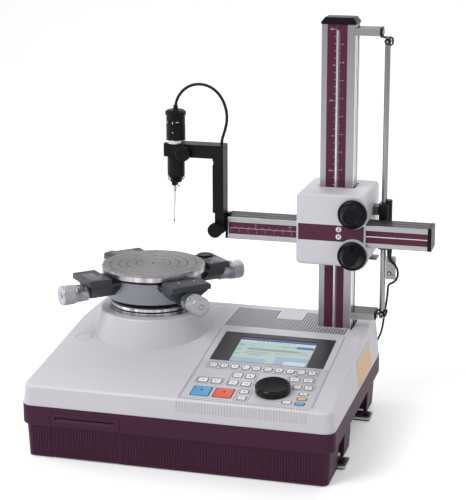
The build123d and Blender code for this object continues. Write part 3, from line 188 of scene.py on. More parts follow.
def tube_rings(points, r, steps=14):
    """Rings round a line of points, with a frame that doesn't twist."""
    rings = []
    up = None
    n = len(points)
    for i in range(n):
        t = (points[min(i + 1, n - 1)] - points[max(i - 1, 0)]).normalized()
        if up is None:
            up = t.orthogonal().normalized()
        up = (up - t * up.dot(t)).normalized()
        s = t.cross(up)
        rings.append([points[i] + (up * cos(2 * pi * k / steps) + s * sin(2 * pi * k / steps)) * r for k in range(steps)])
    return rings


# ---------------------------------------------------------------------------
# Materials
# ---------------------------------------------------------------------------
def nodes_of(name):
    m = bpy.data.materials.new(name)
    m.use_nodes = True
    nt = m.node_tree
    nt.nodes.clear()
    out = nt.nodes.new("ShaderNodeOutputMaterial")
    bs = nt.nodes.new("ShaderNodeBsdfPrincipled")
    nt.links.new(bs.outputs[0], out.inputs[0])
    return m, nt, bs


def rgba(c):
    return (c[0], c[1], c[2], 1.0)


def add_noise(nt, coord, scale, detail=3.0, rough=0.5, stretch=None):
    src = coord
    if stretch:
        mp = nt.nodes.new("ShaderNodeMapping")
        mp.inputs["Scale"].default_value = stretch
        nt.links.new(coord, mp.inputs["Vector"])
        src = mp.outputs[0]
    n = nt.nodes.new("ShaderNodeTexNoise")
    n.inputs["Scale"].default_value = scale
    n.inputs["Detail"].default_value = detail
    n.inputs["Roughness"].default_value = rough
    nt.links.new(src, n.inputs["Vector"])
    return n.outputs[0]


def ramp(nt, fac, stops):
    r = nt.nodes.new("ShaderNodeValToRGB")
    e = r.color_ramp.elements
    e[0].position, e[0].color = stops[0][0], rgba(stops[0][1])
    e[1].position, e[1].color = stops[-1][0], rgba(stops[-1][1])
    for p, c in stops[1:-1]:
        k = e.new(p)
        k.color = rgba(c)
    nt.links.new(fac, r.inputs[0])
    return r.outputs[0]


def span(nt, fac, lo, hi):
    m = nt.nodes.new("ShaderNodeMapRange")
    m.inputs["To Min"].default_value = lo
    m.inputs["To Max"].default_value = hi
    nt.links.new(fac, m.inputs[0])
    return m.outputs[0]


def material(name, colour, rough=0.5, metal=0.0, vary=0.06, vary_scale=9.0, grain=900.0, bump=0.08, dist=0.00012,
             stretch=None, rough_vary=0.06, edge=0.0004, spec=None, coat=0.0, coat_rough=0.1, grain_detail=2.0, aniso=0.0):
    """Painted, moulded or metal surface: colour drift, a fine grain in the bump, uneven gloss, softened edges."""
    m, nt, bs = nodes_of(name)
    tc = nt.nodes.new("ShaderNodeTexCoord")
    co = tc.outputs["Object"]
    n1 = add_noise(nt, co, vary_scale, 4.0, 0.55)
    lo = tuple(max(0.0, c * (1 - vary)) for c in colour)
    hi = tuple(min(1.0, c * (1 + vary)) for c in colour)
    nt.links.new(ramp(nt, n1, [(0.3, lo), (0.7, hi)]), bs.inputs["Base Color"])
    n2 = add_noise(nt, co, grain, grain_detail, 0.6, stretch)
    nt.links.new(span(nt, n2, max(0.02, rough - rough_vary), min(1.0, rough + rough_vary)), bs.inputs["Roughness"])
    b = nt.nodes.new("ShaderNodeBump")
    b.inputs["Strength"].default_value = bump
    b.inputs["Distance"].default_value = dist
    nt.links.new(n2, b.inputs["Height"])
    if edge > 0:
        bev = nt.nodes.new("ShaderNodeBevel")
        bev.samples = 4
        bev.inputs["Radius"].default_value = edge
        nt.links.new(bev.outputs[0], b.inputs["Normal"])
    nt.links.new(b.outputs[0], bs.inputs["Normal"])
    bs.inputs["Metallic"].default_value = metal
    if spec is not None:
        bs.inputs["Specular IOR Level"].default_value = spec
    if coat > 0:
        bs.inputs["Coat Weight"].default_value = coat
        bs.inputs["Coat Roughness"].default_value = coat_rough
    if aniso > 0:
        bs.inputs["Anisotropic"].default_value = aniso
    return m


def turned_metal(name, colour, rough, ring_scale, x, y, bump=0.25, metal=1.0, vary=0.12):
    """Metal turned or ground about the upright axis through (x, y): fine concentric marks."""
    m, nt, bs = nodes_of(name)
    tc = nt.nodes.new("ShaderNodeTexCoord")
    mp = nt.nodes.new("ShaderNodeMapping")
    mp.inputs["Location"].default_value = (-x, -y, 0)
    nt.links.new(tc.outputs["Object"], mp.inputs["Vector"])
    ln = nt.nodes.new("ShaderNodeVectorMath")
    ln.operation = "MULTIPLY"
    ln.inputs[1].default_value = (1, 1, 0)
    nt.links.new(mp.outputs[0], ln.inputs[0])
    le = nt.nodes.new("ShaderNodeVectorMath")
    le.operation = "LENGTH"
    nt.links.new(ln.outputs[0], le.inputs[0])
    sx = nt.nodes.new("ShaderNodeSeparateXYZ")
    nt.links.new(tc.outputs["Object"], sx.inputs[0])
    cx = nt.nodes.new("ShaderNodeCombineXYZ")
    nt.links.new(le.outputs["Value"], cx.inputs[0])
    nt.links.new(sx.outputs[2], cx.inputs[1])
    n = add_noise(nt, cx.outputs[0], ring_scale, 3.0, 0.65)
    big = add_noise(nt, tc.outputs["Object"], 14.0, 3.0, 0.5)
    lo = tuple(c * (1 - vary) for c in colour)
    hi = tuple(min(1.0, c * (1 + vary)) for c in colour)
    mix = nt.nodes.new("ShaderNodeMath")
    mix.operation = "ADD"
    nt.links.new(n, mix.inputs[0])
    nt.links.new(big, mix.inputs[1])
    half = nt.nodes.new("ShaderNodeMath")
    half.operation = "MULTIPLY"
    half.inputs[1].default_value = 0.5
    nt.links.new(mix.outputs[0], half.inputs[0])
    nt.links.new(ramp(nt, half.outputs[0], [(0.35, lo), (0.65, hi)]), bs.inputs["Base Color"])
    nt.links.new(span(nt, n, rough - 0.07, rough + 0.07), bs.inputs["Roughness"])
    b = nt.nodes.new("ShaderNodeBump")
    b.inputs["Strength"].default_value = bump
    b.inputs["Distance"].default_value = 0.00006
    nt.links.new(n, b.inputs["Height"])
    bev = nt.nodes.new("ShaderNodeBevel")
    bev.samples = 4
    bev.inputs["Radius"].default_value = 0.0004
    nt.links.new(bev.outputs[0], b.inputs["Normal"])
    nt.links.new(b.outputs[0], bs.inputs["Normal"])
    bs.inputs["Metallic"].default_value = metal
    bs.inputs["Anisotropic"].default_value = 0.45
    return m


COVER = material("cover_grey", (0.59, 0.575, 0.61), 0.42, vary=0.02, grain=1400, bump=0.10, spec=0.45)
PURPLE = material("base_purple", (0.050, 0.0150, 0.034), 0.46, vary=0.06, grain=1500, bump=0.14, spec=0.10)
STRIP = material("scale_purple", (0.080, 0.012, 0.037), 0.32, vary=0.03, grain=600, bump=0.03, spec=0.25)
BAND = material("band_purple", (0.076, 0.013, 0.034), 0.32, vary=0.015, vary_scale=2.0, grain=500, bump=0.02, spec=0.25)
ALU = material("anodised_aluminium", (0.41, 0.405, 0.41), 0.34, 1.0, vary=0.04, grain=260, bump=0.12, stretch=(30, 30, 1), aniso=0.3)
ALU_X = material("anodised_aluminium_arm", (0.42, 0.42, 0.425), 0.34, 1.0, vary=0.05, grain=260, bump=0.12, stretch=(1, 30, 30), aniso=0.3)
SATIN = turned_metal("satin_silver", (0.215, 0.22, 0.25), 0.36, 3500, TX / 1000, TY / 1000, bump=0.12, vary=0.04)
KNOB_SILVER = material("knob_silver", (0.43, 0.435, 0.46), 0.36, 0.9, vary=0.05, grain=900, bump=0.12)
STEEL = turned_metal("turned_steel", (0.20, 0.20, 0.21), 0.26, 4200, TX / 1000, TY / 1000, bump=0.2, vary=0.08)
TABLE = turned_metal("ground_steel", (0.255, 0.238, 0.248), 0.36, 2600, TX / 1000, TY / 1000, bump=0.35, vary=0.12)
ZINC = material("plated_steel", (0.52, 0.52, 0.50), 0.30, 1.0, vary=0.12, vary_scale=60, grain=500, bump=0.2)
GREY = material("housing_grey", (0.040, 0.045, 0.051), 0.44, 0.0, vary=0.08, grain=1300, bump=0.25, dist=0.0002, spec=0.28)
BLACK = material("black_plastic", (0.0062, 0.0062, 0.0075), 0.36, vary=0.10, grain=1200, bump=0.15, spec=0.10)
BLACK_SATIN = material("black_paint", (0.0062, 0.0062, 0.0075), 0.40, 0.0, vary=0.12, grain=1500, bump=0.16, spec=0.13)
BLACK_GLOSS = material("black_gloss", (0.0035, 0.0035, 0.0045), 0.30, vary=0.05, grain=400, bump=0.02, spec=0.06)
RUBBER = material("rubber", (0.014, 0.014, 0.014), 0.72, vary=0.15, grain=1500, bump=0.3)
CABLE = material("cable_black", (0.008, 0.008, 0.0085), 0.44, vary=0.1, grain=1600, bump=0.15, spec=0.22)
IRON = material("cast_iron", (0.07, 0.07, 0.075), 0.6, 0.2, vary=0.2, grain=300, bump=0.5, dist=0.0005)
BOARD = material("circuit_board", (0.01, 0.09, 0.04), 0.4, vary=0.2, vary_scale=120, grain=700, bump=0.2)
MOTOR = material("motor_black", (0.02, 0.02, 0.022), 0.45, 0.3, vary=0.1, grain=900, bump=0.2)
BEZEL = material("screen_bezel", (0.030, 0.030, 0.036), 0.30, vary=0.05, grain=900, bump=0.03, spec=0.35)
SHEET = material("key_sheet", (0.55, 0.545, 0.575), 0.40, vary=0.02, grain=1200, bump=0.06)
ROD = material("scale_rod_steel", (0.32, 0.315, 0.31), 0.24, 1.0, vary=0.08, grain=400, bump=0.1, stretch=(30, 30, 1))



def by_facing(m, side, up, streak=0.0, lo=0.45, hi=0.9):
    """Painted light and shade: scale a surface's colour by which way it faces, one factor for upright faces and one for
    level ones, so tops or sides are painted darker or lighter. streak adds upright bands of painted reflection, light
    and dark.
    """
    nt = m.node_tree
    bs = next(n for n in nt.nodes if n.type == "BSDF_PRINCIPLED")
    src = bs.inputs["Base Color"].links[0].from_socket
    geo = nt.nodes.new("ShaderNodeNewGeometry")
    sx = nt.nodes.new("ShaderNodeSeparateXYZ")
    nt.links.new(geo.outputs["True Normal"], sx.inputs[0])
    mr = nt.nodes.new("ShaderNodeMapRange")
    mr.inputs["From Min"].default_value, mr.inputs["From Max"].default_value = lo, hi
    mr.inputs["To Min"].default_value, mr.inputs["To Max"].default_value = side, up
    # painted reflection: upright bands of lighter and darker colour on the upright faces
    if streak > 0:
        tc = nt.nodes.new("ShaderNodeTexCoord")
        st = nt.nodes.new("ShaderNodeMapRange")
        st.inputs["From Min"].default_value, st.inputs["From Max"].default_value = 0.34, 0.66
        st.inputs["To Min"].default_value, st.inputs["To Max"].default_value = side * (1 - streak), side * (1 + streak)
        nt.links.new(add_noise(nt, tc.outputs["Object"], 1.0, 3.0, 0.6, (70, 70, 6)), st.inputs[0])
        nt.links.new(st.outputs[0], mr.inputs["To Min"])
    nt.links.new(sx.outputs[2], mr.inputs[0])
    sc = nt.nodes.new("ShaderNodeVectorMath")
    sc.operation = "SCALE"
    nt.links.new(src, sc.inputs[0])
    nt.links.new(mr.outputs[0], sc.inputs["Scale"])
    nt.links.new(sc.outputs[0], bs.inputs["Base Color"])
    return m


def by_right(m, factor):
    """Painted light: lighten the colour of the faces that look to the right."""
    nt = m.node_tree
    bs = next(n for n in nt.nodes if n.type == "BSDF_PRINCIPLED")
    src = bs.inputs["Base Color"].links[0].from_socket
    geo = nt.nodes.new("ShaderNodeNewGeometry")
    sx = nt.nodes.new("ShaderNodeSeparateXYZ")
    nt.links.new(geo.outputs["True Normal"], sx.inputs[0])
    mr = nt.nodes.new("ShaderNodeMapRange")
    mr.inputs["From Min"].default_value, mr.inputs["From Max"].default_value = 0.6, 0.95
    mr.inputs["To Min"].default_value, mr.inputs["To Max"].default_value = 1.0, factor
    nt.links.new(sx.outputs[0], mr.inputs[0])
    sc = nt.nodes.new("ShaderNodeVectorMath")
    sc.operation = "SCALE"
    nt.links.new(src, sc.inputs[0])
    nt.links.new(mr.outputs[0], sc.inputs["Scale"])
    nt.links.new(sc.outputs[0], bs.inputs["Base Color"])
    return m


def two_tone_x(m, x_mm, colour):
    """Another tone on the part of the piece that lies left of a place along X."""
    nt = m.node_tree
    bs = next(n for n in nt.nodes if n.type == "BSDF_PRINCIPLED")
    src = bs.inputs["Base Color"].links[0].from_socket
    tc = nt.nodes.new("ShaderNodeTexCoord")
    sx = nt.nodes.new("ShaderNodeSeparateXYZ")
    nt.links.new(tc.outputs["Object"], sx.inputs[0])
    lt = nt.nodes.new("ShaderNodeMath")
    lt.operation = "LESS_THAN"
    lt.inputs[1].default_value = (x_mm + TX) / 1000.0
    nt.links.new(sx.outputs[0], lt.inputs[0])
    mx = nt.nodes.new("ShaderNodeMix")
    mx.data_type = "RGBA"
    mx.inputs[7].default_value = rgba(colour)
    nt.links.new(lt.outputs[0], mx.inputs[0])
    nt.links.new(src, mx.inputs[6])
    nt.links.new(mx.outputs[2], bs.inputs["Base Color"])
    return m


# Painted shade: the top cover's upright walls are darkened to 0.84 of the colour its top keeps.
COVER_PAINTED_SHADE = by_facing(material("cover_grey_painted_shade", (0.59, 0.575, 0.61), 0.42, vary=0.02, grain=1400, bump=0.10, spec=0.45), 0.84, 1.0, 0.0, 0.12, 0.40)
# Painted shade: level faces of the arm's aluminium are darkened to 0.14 of their colour.
by_facing(ALU_X, 1.0, 0.14)
# Painted light: aluminium faces that look to the right are lightened to twice their colour.
by_right(ALU, 2.0)
# Painted shade: level faces of the grey adjuster blocks are darkened to 0.62 of their colour.
by_facing(GREY, 1.0, 0.62)
# Painted reflection: the table's upright rim is lightened to twice its colour, with upright light and dark bands; its
# top is held at 0.82.
by_facing(TABLE, 2.0, 0.82, 0.45)
# Painted shade and reflection: the collar's level faces are darkened to 0.05 of their colour, and its upright faces
# carry upright bands of painted reflection.
COLLAR_STEEL_PAINTED_LIGHT = by_facing(turned_metal("collar_steel_painted_light", (0.47, 0.47, 0.48), 0.22, 4200, TX / 1000, TY / 1000, bump=0.2, vary=0.08), 1.0, 0.05, 0.75)
HEAD = two_tone_x(material("reading_head", (0.0065, 0.0065, 0.0078), 0.40, 0.0, vary=0.10, grain=1500, bump=0.16, spec=0.3), 320.6, (0.10, 0.10, 0.11))
PLATE_GREY = material("grey_plate", (0.40, 0.40, 0.405), 0.34, 0.5, vary=0.08, grain=900, bump=0.12)

LOOK = {
    "base_skirt": PURPLE, "printer_door": PURPLE, "top_cover": COVER_PAINTED_SHADE, "bed_casting": IRON, "spindle_housing": COLLAR_STEEL_PAINTED_LIGHT,
    "spindle_bearings": STEEL, "drive_motor": MOTOR, "drive_belt": RUBBER, "control_board": BOARD, "display_panel": BEZEL,
    "keypad_overlay": SHEET, "dial_encoder": BLACK, "printer_unit": BLACK, "feet": RUBBER, "hold_down_tabs": ZINC, "tab_bolts": MOTOR,
    "column": ALU, "column_strips": STRIP, "column_rack": ZINC, "column_cap": BLACK, "rod_brackets": ALU_X, "rod_joints": BLACK_SATIN,
    "scale_rod": ROD, "power_inlet": BLACK, "spindle_shaft": STEEL, "spindle_pulley": ALU, "motor_pulley": ALU, "cross_slide": BLACK_SATIN,
    "table_housing": SATIN, "centering_block_front": GREY, "centering_block_right": GREY, "leveling_block_left": GREY,
    "leveling_block_rear": GREY, "centering_knob_front": KNOB_SILVER, "centering_knob_right": KNOB_SILVER, "leveling_knob_left": KNOB_SILVER,
    "leveling_knob_rear": KNOB_SILVER, "gimbal_ring": BLACK_SATIN, "table_top": TABLE, "carriage_shell": COVER, "carriage_back": COVER,
    "carriage_frame": ALU, "scale_head": HEAD, "cable_clamp": PLATE_GREY, "head_cable": CABLE, "z_knob": BLACK, "x_knob": BLACK,
    "z_pinion": ZINC, "x_pinion": ZINC, "arm_beam": ALU_X, "arm_strips": STRIP, "arm_rack": ZINC, "arm_end_caps": BLACK,
    "detector_holder": BLACK_SATIN, "detector_cable": CABLE, "clamp_knob": BLACK, "holder_knob": BLACK, "detector_body": BLACK_SATIN,
    "stylus": ZINC, "jog_dial": BLACK_GLOSS,
}
for name, ob in NODES.items():
    ob.data.materials.clear()
    ob.data.materials.append(LOOK.get(name, BLACK))


# flat colours for marks, keys and the screen
def flat(name, colour, rough=0.35, glow=0.0, vary=0.03, scale=60.0, spec=None):
    """Printed or moulded colour with a faint unevenness; glow lights a screen."""
    m, nt, bs = nodes_of(name)
    tc = nt.nodes.new("ShaderNodeTexCoord")
    n = add_noise(nt, tc.outputs["Object"], scale, 3.0, 0.5)
    lo = tuple(max(0.0, c * (1 - vary)) for c in colour)
    hi = tuple(min(1.0, c * (1 + vary)) for c in colour)
    nt.links.new(ramp(nt, n, [(0.3, lo), (0.7, hi)]), bs.inputs["Base Color"])
    nt.links.new(span(nt, n, rough - 0.04, rough + 0.04), bs.inputs["Roughness"])
    if spec is not None:
        bs.inputs["Specular IOR Level"].default_value = spec
    if glow > 0:
        bs.inputs["Emission Color"].default_value = rgba(colour)
        bs.inputs["Emission Strength"].default_value = glow
    return m


INK = flat("ink_dark", (0.022, 0.022, 0.028), 0.6, spec=0.03)
INK_SOFT = flat("ink_soft", (0.15, 0.15, 0.17), 0.5, spec=0.1)
MARK = flat("scale_marks", (0.75, 0.68, 0.72), 0.35)
WHITE = flat("key_white", (0.80, 0.80, 0.82), 0.35)
KEY_BLUE = flat("key_blue", (0.10, 0.36, 0.62), 0.32)
KEY_RED = flat("key_red", (0.72, 0.115, 0.075), 0.32)
KEY_ORANGE = flat("key_orange", (0.80, 0.42, 0.13), 0.32)
ORANGE = flat("plate_orange", (0.58, 0.36, 0.145), 0.40, vary=0.22, scale=260)
LCD_GREEN = flat("lcd_ground", (0.40, 0.50, 0.475), 0.20, 0.20, 0.02)
LCD_TITLE = flat("lcd_title", (0.035, 0.065, 0.20), 0.20, 0.10)
LCD_BLUE = flat("lcd_blue", (0.30, 0.40, 0.50), 0.20, 0.18)
LCD_BAR = flat("lcd_bar", (0.02, 0.12, 0.32), 0.20, 0.12)
LCD_PALE = flat("lcd_pale", (0.50, 0.60, 0.66), 0.20, 0.20)
LCD_TAB = flat("lcd_tab", (0.14, 0.50, 0.30), 0.20, 0.15)
LCD_LINE = flat("lcd_line", (0.24, 0.31, 0.30), 0.20, 0.12)
RIDGE = material("ridge_silver", (0.66, 0.66, 0.68), 0.26, 0.9, vary=0.03, grain=300, bump=0.05, stretch=(30, 30, 1))
GROOVE = material("groove_grey", (0.16, 0.13, 0.15), 0.40, 0.4, vary=0.05, grain=300, bump=0.05)
BLOCK_PLATE = material("block_plate", (0.105, 0.108, 0.115), 0.38, 0.25, vary=0.08, grain=1200, bump=0.12)
BRASS = material("stylus_brass", (0.62, 0.60, 0.55), 0.28, 1.0, vary=0.08, vary_scale=80, grain=900, bump=0.1)
BALL = material("carbide_ball", (0.10, 0.10, 0.11), 0.12, 0.9, vary=0.04, grain=900, bump=0.02)


def glyphs(mesh, text, fr, x, y, size, h, mat, bold=0.0):
    """Figures from Blender's own typeface, laid flat in a frame, centred on (x, y)."""
    c = bpy.data.curves.new("t", "FONT")
    c.body, c.size, c.resolution_u, c.offset = text, size, 3, bold
    c.align_x, c.align_y = "CENTER", "CENTER"
    o = bpy.data.objects.new("t", c)
    bpy.context.scene.collection.objects.link(o)
    bpy.context.view_layer.update()
    me = bpy.data.meshes.new_from_object(o.evaluated_get(bpy.context.evaluated_depsgraph_get()))
    k, base = mesh.slot(mat), len(mesh.v)
    mesh.v += [tuple(fr(x + p.co.x, y + p.co.y, h)) for p in me.vertices]
    for f in me.polygons:
        mesh.f.append(tuple(base + i for i in f.vertices))
        mesh.m.append(k)
    bpy.data.objects.remove(o)
    bpy.data.meshes.remove(me)
    bpy.data.curves.remove(c)


def bar(mesh, fr, x0, x1, y0, y1, h, mat, h0=None):
    """Thin raised rectangle."""
    mesh.plate(fr, [(x0, y0), (x1, y0), (x1, y1), (x0, y1)], h - 0.06 if h0 is None else h0, h, mat)


def outline(mesh, fr, x0, x1, y0, y1, r, w, h, mat, segs=5):
    """Raised line round a rounded rectangle."""
    o = rounded(x0, x1, y0, y1, r, segs)
    i = rounded(x0 + w, x1 - w, y0 + w, y1 - w, max(r - w, 0.05), segs)
    k, base, n = mesh.slot(mat), len(mesh.v), len(o)
    for ring, hh in ((o, h - 0.08), (o, h), (i, h), (i, h - 0.08)):
        mesh.v += [tuple(fr(x, y, hh)) for x, y in ring]
    for q in range(3):
        for j in range(n):
            a, b = base + q * n + j, base + q * n + (j + 1) % n
            mesh.f.append((a, b, b + n, a + n))
            mesh.m.append(k)


# ---------------------------------------------------------------------------
# Console: key sheet, keys, screen, jog dial
# ---------------------------------------------------------------------------
COSA = cos(SLOPE)


def dy(y):
    """Distance up the sloping deck of a drawing y."""
    return (y + 218.0) / COSA


KEYS = [(x, -114.0, 12.8, 13.0) for x in (123.8, 139.3, 154.5, 170.1, 185.1, 201.4, 216.7, 232.7, 247.9, 263.0)]
KEYS += [(165.2, -138.0, 14.0, 14.0), (182.7, -138.0, 14.0, 14.0), (122.0, -159.0, 15.0, 13.0), (141.0, -159.0, 15.0, 13.0),
         (164.4, -160.0, 14.0, 13.0), (182.5, -160.0, 14.0, 13.0), (186.0, -182.0, 13.0, 11.0), (186.8, -199.0, 13.0, 11.0),
         (243.9, -136.0, 15.0, 11.0), (262.6, -135.5, 15.0, 11.0), (252.3, -156.0, 12.0, 11.0), (267.3, -156.0, 12.0, 11.0),
         (264.6, -173.5, 13.0, 8.5), (265.5, -187.0, 14.0, 9.5), (265.6, -200.4, 14.0, 9.5), (247.8, -199.4, 13.5, 9.5),
         (128.7, -190.0, 26.6, 27.0), (159.6, -190.1, 26.6, 26.7)]
sheet = Mesh("console_key_sheet")
sheet.pad(DECK, 105.0, 282.4, 9.0, 117.6, 2.8, -0.55, -0.02, 0.12, SHEET, 6)
outline(sheet, DECK, 104.7, 282.7, 8.7, 117.9, 3.0, 0.4, -0.02, INK_SOFT, 6)
keys = Mesh("console_keys")
for n, (x, y, w, d) in enumerate(KEYS):
    x0, x1, y0, y1 = x - w / 2, x + w / 2, dy(y - d / 2), dy(y + d / 2)
    big = w > 20
    mat = WHITE
    if n == 26:
        mat = KEY_BLUE
    elif n == 27:
        mat = KEY_RED
    elif n == 23:
        mat = KEY_ORANGE
    elif n == 24:
        mat = KEY_BLUE
    r = 5.6 if n < 10 else (2.0 if big else 2.6)
    outline(keys, DECK, x0, x1, y0, y1, r, 1.1, 0.16, INK, 7 if n < 10 else 5)
    i = 1.15
    keys.pad(DECK, x0 + i, x1 - i, y0 + i, y1 - i, max(r - i, 1.0), -0.1, 0.68, 0.35, mat, 6)
    cx, cy = x, (y0 + y1) / 2
    if big:
        bar(keys, DECK, cx - 1.5, cx + 1.5, cy + 1.0, cy + 4.0, 0.73, INK)
    elif n not in (23, 24, 25):
        # small plain symbols: lines, boxes and a triangle in turn
        q = n % 5
        if q == 0:
            outline(keys, DECK, cx - 2.6, cx + 2.6, cy - 1.5, cy + 1.5, 0.4, 0.5, 0.72, INK_SOFT, 2)
        elif q == 1:
            keys.plate(DECK, [(cx - 2.0, cy - 1.2), (cx + 2.0, cy - 1.2), (cx, cy + 1.6)], 0.6, 0.72, INK)
        elif q == 2:
            bar(keys, DECK, cx - 2.6, cx + 2.6, cy - 0.25, cy + 0.25, 0.72, INK_SOFT)
            bar(keys, DECK, cx - 0.3, cx + 0.3, cy - 1.7, cy + 1.7, 0.725, INK_SOFT)
        elif q == 3:
            bar(keys, DECK, cx - 2.8, cx - 0.6, cy - 1.2, cy + 1.2, 0.72, INK_SOFT)
            bar(keys, DECK, cx + 0.6, cx + 2.8, cy - 0.3, cy + 0.3, 0.72, INK_SOFT)
        else:
            for k in (-1.3, 0.0, 1.3):
                bar(keys, DECK, cx - 2.6, cx + 2.2, cy + k - 0.22, cy + k + 0.22, 0.72, INK_SOFT)
# group outlines round the keys
for x0, x1, y0, y1 in ((114.6, 272.4, -123.6, -104.4), (155.6, 192.6, -168.8, -128.4), (112.2, 150.6, -168.0, -150.0), (233.8, 272.6, -144.4, -126.8),
                       (243.8, 276.2, -164.0, -148.0), (176.6, 196.4, -207.2, -174.4)):
    outline(sheet, DECK, x0, x1, dy(y0), dy(y1), 4.0, 0.55, 0.05, INK, 5)
dots = Mesh("console_dots")
for k in range(46):
    dots.lathe(Frame(DECK.o + DECK.a * (105.0 + 3.9 * k) + DECK.b * 4.4, DECK.a, DECK.b, DECK.n), [(0.95, -0.3), (0.95, 0.03), (0.01, 0.03)], INK, 12)
dots.make("root", 30)
sheet_ob = sheet.make("root", 40, "key_sheet")
keys_ob = keys.make("root", 50, "key_sheet")
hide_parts("keypad_overlay")
# two small square lamps above the large keys
lamps = Mesh("console_lamps")
bar(lamps, DECK, 143.2, 145.0, dy(-175.2), dy(-173.4), 0.4, KEY_RED, -0.1)
bar(lamps, DECK, 243.0, 245.2, dy(-127.6), dy(-126.0), 0.4, INK, -0.1)
lamps.make("root", 30, "key_sheet")

# screen
lcd = Mesh("screen_picture")
X0, X1, Y0, Y1 = 140.6, 250.4, 121.2, 197.8
bar(lcd, DECK, X0, X1, Y0, Y1, -0.74, LCD_GREEN, -0.79)
bar(lcd, DECK, X0, X1, Y1 - 7.5, Y1, -0.68, LCD_TITLE)
bar(lcd, DECK, X0, X1, Y1 - 13.0, Y1 - 7.6, -0.70, LCD_PALE)
for q in range(9):
    bar(lcd, DECK, X0 + 26 + q * 6.2, X0 + 30.0 + q * 6.2, Y1 - 11.4, Y1 - 9.4, -0.66, LCD_LINE)
for k in range(3):
    bar(lcd, DECK, X0 + 1.5, X0 + 8.5, Y1 - 24.5 - k * 14.0, Y1 - 20.0 - k * 14.0, -0.68, LCD_TAB)
bar(lcd, DECK, X0 + 62, X0 + 70, Y1 - 22.5, Y1 - 18.5, -0.68, LCD_TAB)
bar(lcd, DECK, X0 + 70, X0 + 86, Y1 - 22.5, Y1 - 18.5, -0.68, LCD_BLUE)
bar(lcd, DECK, X0 + 84, X1 - 1.0, Y1 - 23.5, Y1 - 17.0, -0.66, LCD_BAR)
outline(lcd, DECK, X0 + 20, X0 + 34, Y1 - 27, Y1 - 17, 1.5, 0.6, -0.66, LCD_LINE, 3)
bar(lcd, DECK, X0 + 16, X0 + 90, Y1 - 36.5, Y1 - 30.5, -0.70, LCD_LINE)
for q, (u0, u1, v) in enumerate(((16, 52, 43), (12, 47, 48), (58, 84, 43), (90, 104, 40), (20, 40, 53), (88, 100, 34))):
    bar(lcd, DECK, X0 + u0, X0 + u1, Y1 - v, Y1 - v + 1.6, -0.68, LCD_LINE)
bar(lcd, DECK, X0, X0 + 50, Y0, Y0 + 15.0, -0.68, LCD_BLUE)
bar(lcd, DECK, X0 + 62, X1, Y0, Y0 + 25.0, -0.68, LCD_BLUE)
bar(lcd, DECK, X0 + 76, X1 - 3, Y0 + 2.0, Y0 + 13.0, -0.64, LCD_PALE)
lcd.make("root", 30)

# jog dial: turned disc with a soft rim, finger dimples round the side and one on top
DIAL = deck_at(223.0, -174.0)


def dial_wave(a, r, h):
    if r < 20.8 or h < 1.5 or h > 9.6:
        return r
    return r - 0.9 * max(0.0, cos(9 * a + 0.9)) ** 6


DIAL_EDGE = material("dial_edge", (0.0035, 0.0035, 0.0045), 0.16, vary=0.05, grain=400, bump=0.02, spec=0.30)
dial = Mesh("jog_dial_top")
dial.lathe(DIAL, [(4.1, -13.9), (4.1, 0.55), (22.6, 0.55), (23.4, 0.9), (23.8, 1.6), (23.8, 3.0), (23.8, 5.0), (23.8, 7.0), (23.8, 8.8), (23.6, 9.7), (23.1, 10.5), (22.2, 11.1),
                  (21.0, 11.45), (20.2, 11.45)], DIAL_EDGE, 180, True, False, dial_wave)
dial.lathe(DIAL, [(20.2, 11.45), (19.4, 11.4), (18.2, 11.2), (0.01, 11.2)], BLACK_GLOSS, 180, False, True)
dimple = deck_at(219.8, -160.4)
dial.lathe(dimple, [(4.4, 11.1), (4.4, 11.42), (4.05, 11.5), (3.7, 11.42), (3.3, 11.25), (0.01, 11.22)], BLACK_GLOSS, 40, True, True)
dial_ob = dial.make("dial", 40, "black_plastic")
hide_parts("jog_dial")

# ---------------------------------------------------------------------------
# Scales of the column and of the arm
# ---------------------------------------------------------------------------
COL = front_at(0.0, 41.2, 0.0)
marks = Mesh("column_scale_marks")
for k in range(0, 31):
    z = 268.2 + 10.0 * k
    if z > 569.0:
        break
    if k % 10 == 0 and k:
        bar(marks, COL, 255.0, 257.7, z - 0.22, z + 0.22, 0.05, MARK)
        glyphs(marks, str(10 * k), COL, 251.6, z, 3.0, 0.05, MARK)
    else:
        bar(marks, COL, 255.6 if k % 5 else 253.4, 257.7, z - 0.2, z + 0.2, 0.05, MARK)
for k in range(1, 12):
    z = 268.2 + 25.4 * k
    bar(marks, COL, 263.9, 265.6, z - 0.2, z + 0.2, 0.05, MARK)
    glyphs(marks, str(k), COL, 267.9, z, 2.8, 0.05, MARK)
    bar(marks, COL, 263.9, 264.9, z - 12.9, z - 12.5, 0.05, MARK)
marks.make("root", 30, "scale_strip")
ridge = Mesh("column_ridge")
RID = front_at(0.0, 41.0, 0.0)
bar(ridge, RID, 258.45, 260.95, 125.2, 567.0, 0.14, RIDGE, -0.02)
bar(ridge, RID, 261.2, 263.4, 125.2, 567.0, -0.74, GROOVE, -0.79)
bar(ridge, RID, 258.4, 263.45, 567.2, 574.8, 0.10, STRIP, -0.02)
ridge.make("root", 30, "scale_strip")

ARM = front_at(0.0, -1.4, 0.0)
LINE_SOFT = material("arm_line", (0.30, 0.25, 0.28), 0.32, 0.3, vary=0.04, grain=300, bump=0.05)
MARK_SOFT = flat("scale_marks_soft", (0.42, 0.30, 0.36), 0.35)
PALE_PURPLE = material("arm_band_light", (0.21, 0.08, 0.135), 0.34, 0.0, vary=0.03, grain=300, bump=0.03, spec=0.3)
amarks = Mesh("arm_scale_marks")
bar(amarks, ARM, 113.3, 300.0, 274.0, 278.0, 0.24, ALU_X, -0.02)
bar(amarks, ARM, 113.2, 114.6, 278.0, 295.4, 0.24, ALU_X, -0.02)
bar(amarks, ARM, 114.6, 300.0, 278.0, 294.8, 0.26, STRIP, -0.02)
